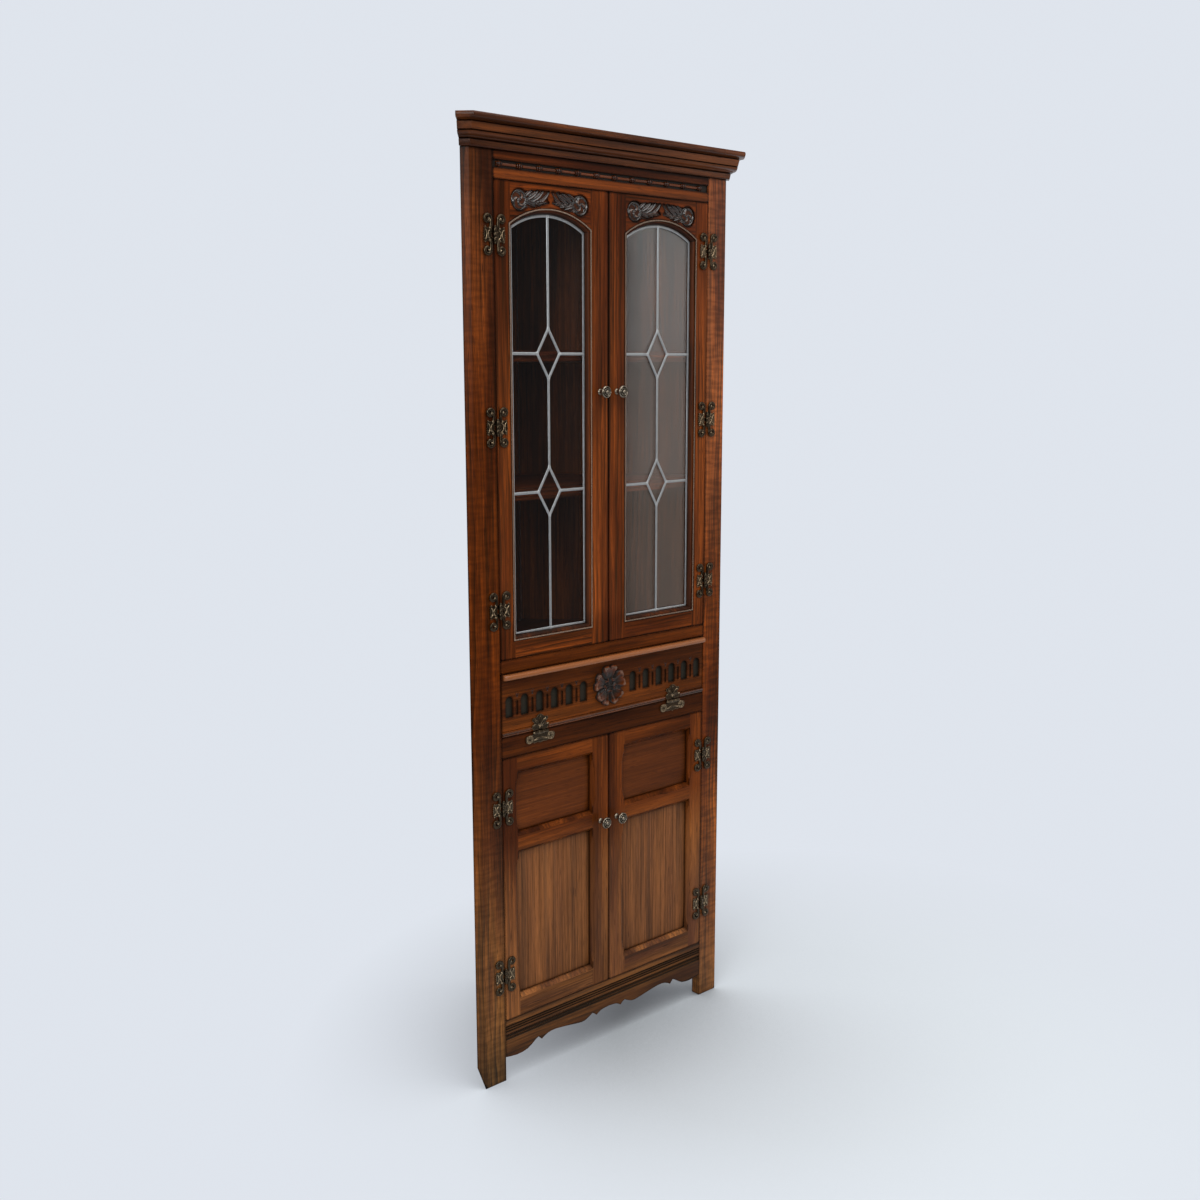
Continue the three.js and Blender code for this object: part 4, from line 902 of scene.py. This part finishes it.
def foliage_end():
    spines = [leaf_spine(*leaf) for leaf in LEAVES]
    boxes = [[limit(place[way] for place in spine) + sign * leaf_margin
              for way in (0, 1) for limit, sign in ((min, -1), (max, 1))] for spine in spines]
    vertices = []
    for column in range(sheet_columns + 1):
        x = sheet_left + (sheet_right - sheet_left) * column / sheet_columns
        arch = arch_centre + sqrt((arch_radius + arch_margin) ** 2 - (x + roundel_centre[0] - light_middle) ** 2)
        low = max(-sheet_top, arch - roundel_centre[1])
        for row in range(sheet_rows + 1):
            z = low + (sheet_top - low) * row / sheet_rows
            heights = [roundel_height(x, z)] + [leaf_height(spine, x, z) for spine, (left, right, bottom, top)
                                                in zip(spines, boxes) if left < x < right and bottom < z < top]
            depth = max(ground_depth - max(heights), least_depth)
            vertices.append(at(roundel_centre[0] + x, depth, roundel_centre[1] + z))
    across, last = sheet_rows + 1, sheet_columns * (sheet_rows + 1)
    faces = [(low + row, low + across + row, low + across + row + 1, low + row + 1)
             for low in range(0, last, across) for row in range(sheet_rows)]
    rim = [*range(across), *range(across + sheet_rows, last + across, across),
           *range(last + sheet_rows - 1, last - 1, -1), *range(last - across, 0, -across)]
    start, size, back = len(vertices), len(rim), FRONT + (ground_depth + sheet_back) * MM
    vertices += [Vector((vertices[place].x, back, vertices[place].z)) for place in rim]
    faces += [(rim[step], rim[(step + 1) % size], start + (step + 1) % size, start + step) for step in range(size)]
    return vertices, faces + [tuple(range(start, start + size))]


one_end = foliage_end()
other_end = ([Vector((2 * light_middle * MM - place.x, place.y, place.z)) for place in one_end[0]], one_end[1])
vertices, faces = joined([one_end, other_end])
for side, sign in SIDES:
    carving = ([Vector((sign * place.x, place.y, place.z)) for place in vertices], faces)
    finished(f"{side}_display_door_carving", carving, f"{side}_display_door_frame", oak["carved"], False, 70)
print("carving vertices on one door", len(vertices))

# %% [markdown]
# ## Glass and lead
# The panes keep their own solids. The lead came is a soft bar that follows the joints between the pieces of glass, so
# its centre lines are drawn as plain edges and a Geometry Nodes tree sweeps a rounded section along them. Where
# three or more lines meet it sets a drop of solder.

# %% Panes
for side in ("left", "right"):
    pane = frame["nodes"][f"{side}_display_door_glass"]
    pane.data.materials.clear()
    pane.data.materials.append(clear_glass)
print("panes", len(SIDES))

# %% Came lines
came_width, came_thickness, came_middle_depth, solder_radius = 5.4, 2.2, 10.6, 3.6
rim_inset = mould_width + 0.2 + came_width / 2
diamond_heights = (1167.0, 1425.0)
diamond_half_width, diamond_half_height = 27.0, 46.0


def came_lines(sign):
    shape = bmesh.new()

    def corner(x, z):
        return shape.verts.new(at(sign * x, came_middle_depth, z))

    def chain(*points, closed=False):
        for pair in zip(points, points[1:] + (points[:1] if closed else ())):
            shape.edges.new(pair)

    chain(*(corner(x, z) for x, z in arched_line(rim_inset, 32, 2)), closed=True)
    knot = corner(light_middle, light_low + rim_inset)
    for height in diamond_heights:
        tips = [corner(light_middle + across * diamond_half_width, height + rise * diamond_half_height)
                for across, rise in ((0, -1), (1, 0), (0, 1), (-1, 0))]
        chain(*tips, closed=True)
        chain(knot, tips[0])
        chain(tips[1], corner(light_right - rim_inset, height))
        chain(tips[3], corner(light_left + rim_inset, height))
        knot = tips[2]
    chain(knot, corner(light_middle, light_crown - rim_inset))
    bmesh.ops.remove_doubles(shape, verts=shape.verts, dist=0.05 * MM)
    return kept(shape)


tree, given, result = geometry_tree("lead_cames", Float=("Width", "Thickness", "Solder Radius"),
                                    Material=("Material",))
lines = tree.add("GeometryNodeMeshToCurve", {"Mesh": given["Geometry"]})
faced = tree.add("GeometryNodeSetCurveNormal", {"Curve": lines, "Normal": (0, -1, 0)}, mode="FREE")
ring = tree.add("GeometryNodeCurvePrimitiveCircle", {"Resolution": 12, "Radius": 0.5}, mode="RADIUS")
oval = tree.add("GeometryNodeTransform", {"Geometry": ring,
                                          "Scale": tree.combine(given["Thickness"], given["Width"], 1.0)})
bars = tree.add("GeometryNodeCurveToMesh", {"Curve": faced, "Profile Curve": oval, "Fill Caps": True})
meeting = tree.add("GeometryNodeInputMeshVertexNeighbors")
knot = tree.add("FunctionNodeCompare", {2: meeting, 3: 3}, data_type="INT", operation="GREATER_EQUAL")
flat = tree.combine(given["Solder Radius"], tree.product(given["Thickness"], 0.66), given["Solder Radius"])
drops = tree.set(copies(tree, given["Geometry"], sphere(tree, 14, 8, 1.0), flat), {"Selection": knot})
tree.set(result, {0: painted(tree, together(tree, bars, drops), given["Material"])})

for side, sign in SIDES:
    cames = built(tree, {"Width": came_width * MM, "Thickness": came_thickness * MM,
                         "Solder Radius": solder_radius * MM, "Material": lead}, came_lines(sign))
    finished(f"{side}_display_door_leadwork", cames, f"{side}_display_door_cames", lead, smooth=50)
    print(side, "leadwork vertices", len(cames.vertices))

# %% [markdown]
# ## Fall flap
# The flap is one thick board with a rounded nosing along its top, two fine beads along its foot, an arcade of round
# headed niches and a rose in the middle. The board is drawn plain, and one Boolean sinks the niches, the narrow slots
# between them and the quirk over the beads.

# %% Flap board
flap_half, flap_low, flap_high, flap_back = 271.0, 706.0, 829.0, 20.0
niche_first, niche_pitch, niche_count = 67.0, 37.2, 6
niche_shape, slot_shape = {"half": 9.0, "low": 743.0, "spring": 775.0}, {"half": 2.2, "low": 746.0, "spring": 772.0}
niche_depth, slot_depth = 5.0, 2.4
quirk_height, quirk_mouth, quirk_depth = 716.2, 2.2, 1.6


def round_headed(x, half, low, spring):
    head = [(x + half * c, spring + half * s) for c, s in arc(0, pi, 14)]
    return [(x - half, low), (x + half, low)] + head[:-1] + [(x - half, spring)]


niche_places, slot_places = (
    [side * (niche_first + niche_pitch * (place + shift)) for side in (-1, 1) for place in range(count)]
    for shift, count in ((0, niche_count), (0.5, niche_count - 1)))
corners = [(-flap_half, flap_low), (flap_half, flap_low), (flap_half, flap_high), (-flap_half, flap_high)]
cutters = [prism(round_headed(x, **niche_shape), cutter_front, niche_depth) for x in niche_places]
cutters += [prism(round_headed(x, **slot_shape), cutter_front, slot_depth) for x in slot_places]
cutters += [across_groove(quirk_height, flap_half + 1, quirk_mouth, quirk_depth)]
flap_mesh = ease(cut_away(mesh_from(*prism(corners, 0.0, flap_back)), cutters), 0.6, segments=3, angle=35)
finished("flap_board_wood", flap_mesh, "flap_board", oak["flap"])
print("niches", len(niche_places), "slots", len(slot_places))

# %% [markdown]
# The nosing and the beads are half round strips. Their sections are carried along the flap, and the nosing's two ends
# are rounded in plan by drawing its front back, station by station, along a quarter circle.

# %% Nosing and beads
def half_round(centre_y, centre_z, radius, back=1.0):
    front = [(centre_y - radius * s, centre_z + radius * c) for c, s in arc(0, pi, 14)]
    return [(back, centre_z + radius)] + front + [(back, centre_z - radius)]


def strip(sections):
    return loft([[at(x, y, z) for y, z in section] for x, section in sections])


nosing_half, nosing_reach, nosing_corner = 5.5, 15.0, 9.0
bead_rows, bead_seat = ((712.6, 2.3), (708.6, 1.5)), 0.6
flap_hinge_offset, hinge_break = 180.0, 21.5
nosing = []
for side in (-1, 1):
    for c, s in arc(0, pi / 2, 7)[::-side]:
        section = half_round(nosing_half + nosing_corner * (1 - s) - nosing_reach, flap_high - nosing_half, nosing_half)
        nosing.append((side * (flap_half - nosing_corner * (1 - c)), section))
hinge_ends = [side * flap_hinge_offset + edge * hinge_break for side in (-1, 1) for edge in (-1, 1)]
ends = [-flap_half, *hinge_ends, flap_half]
strips = [strip([(x, half_round(bead_seat - radius / 2, height, radius)) for x in (left, left + 0.1, right)])
          for left, right in zip(ends[::2], ends[1::2]) for height, radius in bead_rows]
finished("flap_beads", joined(strips), "flap_board", oak["rubbed"], False, 40)
finished("flap_nosing", strip(nosing), "flap_board", oak["nosing"], False, 40)
print("nosing stations", len(nosing), "beads", len(strips))

# %% [markdown]
# A small dark bud hangs over each slot. They are all alike, so a Geometry Nodes tree sets instances of one on a line.

# %% Flap buds
tree, given, result = geometry_tree("hanging_buds", Vector=("Start", "Step"), Int=("Copies",),
                                    Float=("Length", "Width", "Relief"), Material=("Material",))
row = row_of(tree, given["Copies"], given["Start"], given["Step"])
bud_size = tree.combine(given["Width"], given["Relief"], given["Length"])
ball = sphere(tree, 14, 8, 0.5)
buds = [copies(tree, row, ball, tree.scaled(bud_size, (size, size, size)),
               tree.scaled(bud_size, (aside, 0, drop)))
        for aside, drop, size in ((0.0, 0.0, 1.0), (-0.75, 0.45, 0.6), (0.75, 0.45, 0.6))]
tree.set(result, {0: painted(tree, together(tree, *buds), given["Material"])})
bud_depth, bud_height = 0.2, 783.5
shape = bmesh.new()
for side in (-1, 1):
    shape.from_mesh(built(tree, {
        "Start": at(side * (niche_first + niche_pitch / 2), bud_depth, bud_height), "Copies": niche_count - 1,
        "Step": (side * niche_pitch * MM, 0, 0), "Length": 8.5 * MM, "Width": 3.6 * MM, "Relief": 1.8 * MM,
        "Material": oak["waxed"]}))
finished("flap_buds", kept(shape), "flap_board", oak["waxed"], False, 60)
print("buds", len(slot_places))

# %% [markdown]
# The rose has heart shaped petals round a deep eye. Its relief is a rule again: petals fall to a valley between them,
# and the rim curls up to catch the light. It is a disc of points round a centre, closed by a flat back.

# %% Rose
rose_middle, rose_radius, rose_back, petal_count, valley_start = 766.0, 42.0, -0.3, 5, 0.62
rose_rings, rose_spokes = 40, 150


def ridge(value, middle, width):
    return exp(-(((value - middle) / width) ** 2))


def petal_place(angle):
    """How far an angle lies from the middle of its petal: 0 there and 1 in the valley between two petals."""
    turn = (angle - pi / 2) * petal_count / (2 * pi) + 0.5
    return ((turn % 1) - 0.5) * 2


def rose_outline(angle):
    edge = abs(petal_place(angle))
    valley = 0.26 * max(0, edge - valley_start) ** 1.5 / (1 - valley_start) ** 1.5
    return rose_radius * (1 - 0.09 * ridge(edge, 0, 0.15) - valley)


def rose_height(share, angle):
    edge = abs(petal_place(angle))
    eye = 2.6 * max(0, 1 - (share / 0.12) ** 2) ** 0.5
    inner = 5.2 * max(0, 1 - (1 - edge) ** 3) * ridge(share, 0.33, 0.10)
    cup = 2.0 + 4.6 * max(0, share - 0.42) / 0.58
    fall = max(0, edge - valley_start) / (1 - valley_start)
    petal = cup * (1 - 0.95 * fall ** 1.5) + 1.3 * ridge(edge, valley_start, 0.14) * min(1, share * 1.3)
    heart = 1.6 * ridge(edge, 0, 0.12) * max(0, share - 0.6) / 0.4
    rim = 1.5 * ridge(share, 0.88, 0.08) - 2.4 * max(0, share - 0.93) / 0.07
    mix = min(1, max(0, (share - 0.30) / 0.16))
    return 0.7 + eye + inner * (1 - 0.7 * mix) + mix * (petal - heart + rim * (1 - fall))


vertices = [at(0, rose_back - rose_height(0, 0), rose_middle)]
for ring in range(1, rose_rings + 2):
    share = min(ring, rose_rings) / rose_rings
    for spoke in range(rose_spokes):
        angle = 2 * pi * spoke / rose_spokes
        radius, rise = rose_outline(angle) * share, rose_height(share, angle) if ring <= rose_rings else 0
        vertices.append(at(radius * cos(angle), rose_back - rise, rose_middle + radius * sin(angle)))
faces = [(0, 1 + (step + 1) % rose_spokes, 1 + step) for step in range(rose_spokes)]
faces += ring_faces(rose_rings + 1, rose_spokes, 1) + [tuple(range(len(vertices) - rose_spokes, len(vertices)))]
finished("flap_rose_carving", (vertices, faces), "flap_rose", oak["rose"], smooth=60)
print("rose vertices", len(vertices))

# %% [markdown]
# ## Knobs
# The knobs were turned and cast: a small rose plate, a waist and a ringed head with a boss. A section is spun round the
# knob's own axis, which points straight out of the door.

# %% Knobs
knob_offset, knob_heights, knob_sides = 22.0, {"display": 1353.0, "cupboard": 483.0}, 40
knob_section = [(6.0, 0), (6.0, 1.0), (5.4, 1.8), (4.6, 2.6), (4.0, 3.6), (3.6, 5.5), (3.4, 8.5), (3.9, 11.0),
                (5.6, 13.2), (8.8, 14.8), (11.0, 16.2), (11.8, 17.8), (11.7, 19.2), (10.9, 20.6), (9.9, 21.2),
                (9.2, 20.6), (8.8, 19.2), (8.1, 18.9), (7.6, 20.6), (6.8, 21.8), (6.0, 21.6), (5.5, 20.2),
                (4.7, 20.0), (4.2, 22.0), (3.2, 24.0), (1.8, 24.8), (0.6, 25.0)]
for side, sign in SIDES:
    for kind, height in knob_heights.items():
        rings = [[at(sign * knob_offset + radius * c, -out, height + radius * s) for c, s in circle(knob_sides)]
                 for radius, out in knob_section]
        node = f"{side}_{kind}_door_knob"
        finished(node + "_metal", loft(rings), node, pewter, smooth=60)
print("knobs", len(SIDES) * len(knob_heights))

# %% [markdown]
# ## Scroll hinges
# Each door hinge has two leaves, and each leaf has a small plate with a crook above and below it. A crook is a round
# bar that rises beside the knuckle, bends over and curls in to a ball. Bars are swept along a flat path, so the section
# never twists, and balls and barrels are spun. All of them are built about the hinge's own axis: out is the way away
# from the pin, and up is along it.

# %% Bars, balls and barrels
hinge_axis_x, hinge_axis_depth = 273.0, -4.0


class Leaf:
    """Collects the closed parts of one hinge leaf, in millimetres out from its pin, in depth and up."""

    def __init__(self, axis_x, centre_z, out_sign, level=False):
        self.axis_x, self.centre_z, self.out_sign, self.level = axis_x, centre_z, out_sign, level
        self.parts = []

    def spot(self, out, depth, up):
        across, rise = (up, self.out_sign * out) if self.level else (self.out_sign * out, up)
        return at(self.axis_x + across, depth, self.centre_z + rise)

    def rings(self, rings):
        self.parts.append(loft([[self.spot(*place) for place in ring] for ring in rings]))

    def plate(self, outline):
        self.rings([[(out, depth, up) for out, up in outline] for depth in (leaf_front, leaf_back)])

    def bar(self, path, radii, depth, sides=10, flatness=0.8):
        rings = []
        for place, (out, up) in enumerate(path):
            before, after = path[max(0, place - 1)], path[min(len(path) - 1, place + 1)]
            length = hypot(after[0] - before[0], after[1] - before[1])
            normal = (-(after[1] - before[1]) / length, (after[0] - before[0]) / length)
            rings.append([(out + normal[0] * radii[place] * c, depth - radii[place] * flatness * s,
                           up + normal[1] * radii[place] * c) for c, s in circle(sides)])
        self.rings(rings)

    def ball(self, out, depth, up, radius):
        self.rings([[(out + radius * wide * c, depth + radius * wide * s, up - radius * fall) for c, s in circle(12)]
                    for fall, wide in arc(0, pi, 8)[1:-1]])

    def barrel(self, low, high):
        section = [(knuckle_radius - knuckle_ease, low), (knuckle_radius, low + knuckle_ease),
                   (knuckle_radius * 0.93, (low + high) / 2), (knuckle_radius, high - knuckle_ease),
                   (knuckle_radius - knuckle_ease, high)]
        self.rings([[(radius * c, hinge_axis_depth + radius * s, up) for c, s in circle(20)]
                    for radius, up in section])
        self.plate([(2, low), (9, low), (9, high), (2, high)])


print("leaf builder ready")

# %% Door hinge leaves
knuckle_radius, knuckle_half, middle_knuckle_half, knuckle_ease, knuckle_gap = 3.6, 12.5, 3.7, 0.7, 0.3
leaf_front, leaf_back = -2.4, -0.3
crook_centre, crook_radius, crook_bar, crook_turns = (15.2, 26.6), 6.9, 3.6, 34
plate_outline = [(6.6, -12), (8.2, -13.2), (10.5, -13.6), (12.5, -12.4), (15, -11.6), (18, -12.2), (20.5, -13.2),
                 (22.6, -12.2), (21.9, -10), (23.6, -8.4), (22.2, -6), (23.9, -4), (22.4, -2), (24.2, 0)]
hinge_heights = {"display": {"lower": 951.9, "middle": 1292.0, "upper": 1632.1},
                 "cupboard": {"lower": 223.5, "upper": 566.5}}
# Each ball on the plate is out, depth, up and radius. Each thin rib is its path and its radii.
plate_balls = ((11.2, -2.7, 10.6, 2.0), (20.6, -2.5, 12.6, 1.5))
plate_ribs = (([(9.5, 8.0), (13.5, 5.0), (14.5, 0)], [0.9, 1.0, 0.8]),
              ([(20.5, 9.0), (17.5, 5.0), (17.0, 0)], [0.9, 0.9, 0.7]))
bar_depth, rib_depth, crook_end_depth, crook_end_radius, finial_rise, finial_radius = -2.3, -2.5, -2.9, 2.2, 1.2, 2.7


def crook_path(side):
    points = [(9.6, 9.0), (8.2, 13.5), (7.6, 19.0)]
    for step in range(crook_turns + 1):
        t = step / crook_turns
        angle = radians(196 - 410 * t)
        radius = crook_radius * (1 if t < 0.4 else 1 - 0.72 * (t - 0.4) / 0.6)
        points.append((crook_centre[0] + radius * cos(angle), crook_centre[1] + radius * sin(angle)))
    return [(out, side * up) for out, up in points]


def door_leaf(axis_x, centre_z, out_sign, swings):
    leaf = Leaf(axis_x, centre_z, out_sign)
    leaf.plate(plate_outline + [(out, -up) for out, up in reversed(plate_outline[:-1])])
    for side in (-1, 1):
        path = crook_path(side)
        leaf.bar(path, [crook_bar * (0.8 + 0.2 * min(1, place / 6)) * (1 - 0.3 * place / len(path))
                        for place in range(len(path))], bar_depth)
        leaf.ball(path[-1][0], crook_end_depth, path[-1][1], crook_end_radius)
        for out, depth, up, radius in plate_balls:
            leaf.ball(out, depth, side * up, radius)
        for rib, radii in plate_ribs:
            leaf.bar([(out, side * up) for out, up in rib], radii, rib_depth, 8)
    if swings:
        leaf.barrel(-middle_knuckle_half, middle_knuckle_half)
        return joined(leaf.parts)
    for side in (-1, 1):
        leaf.barrel(*sorted((side * (middle_knuckle_half + knuckle_gap), side * knuckle_half)))
        leaf.ball(0, hinge_axis_depth, side * (knuckle_half + finial_rise), finial_radius)
    return joined(leaf.parts)


for side, sign in SIDES:
    for kind, heights in hinge_heights.items():
        for place, height in heights.items():
            for word, swings in (("fixed", False), ("door", True)):
                node = f"{side}_{kind}_{place}_hinge_{word}_leaf"
                leaf = door_leaf(sign * hinge_axis_x, height, -sign if swings else sign, swings)
                finished(node + "_metal", leaf, node, bronze, smooth=50)

# %% [markdown]
# The flap's two hinges lie on their sides. The leaf on the flap is a palmette, a fan of bent ribs. The leaf on the
# rail below is a bar with a ringed rosette at each end. Their plates are eased copies, and the ribs and rosettes stand
# on them.

# %% Flap hinge leaves and stay
flap_axis_height, rosette_radius, rosette_place, rib_steps = 703.0, 8.2, (12.5, 25.5), 8


def palmette(leaf):
    for turn in (-58, -30, 0, 30, 58):
        length = 25 - abs(turn) * 0.09
        path = []
        for step in range(rib_steps + 1):
            t = step / rib_steps
            angle = radians(turn * (0.45 + 0.75 * t))
            path.append((6.5 + length * t * cos(angle), length * t * sin(angle)))
        leaf.bar(path, [0.9 + 1.9 * sin(pi * min(0.86, 0.12 + 0.8 * step / rib_steps))
                        for step in range(rib_steps + 1)], bar_depth)
        leaf.ball(path[-1][0], -2.6, path[-1][1], 2.2)
    leaf.ball(9.5, -2.8, 0, 3.4)


def rosettes(leaf):
    for end in (-1, 1):
        out, up = rosette_place[0], end * rosette_place[1]
        for radius, bar_radius, depth in ((rosette_radius - 1.5, 1.5, bar_depth), (rosette_radius * 0.42, 1.2, -2.6)):
            leaf.bar([(out + radius * c, up + radius * s) for c, s in arc(0, 2 * pi, 36)], [bar_radius] * 37, depth, 8)
        leaf.ball(out, -2.7, up, 1.9)
    leaf.bar([(15.5, -16), (13.5, -8), (12.0, 0), (13.5, 8), (15.5, 16)], [1.2, 1.7, 2.4, 1.7, 1.2], bar_depth)


for side, sign in SIDES:
    for word, out_sign, dress in (("fixed", -1, rosettes), ("flap", 1, palmette)):
        node = f"{side}_flap_hinge_{word}_leaf"
        leaf = Leaf(sign * flap_hinge_offset, flap_axis_height, out_sign, level=True)
        dress(leaf)
        shape = bmesh.new()
        shape.from_mesh(ease(merged_copy(node), 0.45, segments=3, angle=25))
        shape.from_mesh(mesh_from(*joined(leaf.parts)))
        finished(node + "_metal", kept(shape), node, bronze, smooth=50)
for node in ("stay_guide", "flap_quadrant_stay"):
    finished(node + "_metal", ease(merged_copy(node), 0.3), node, bronze)
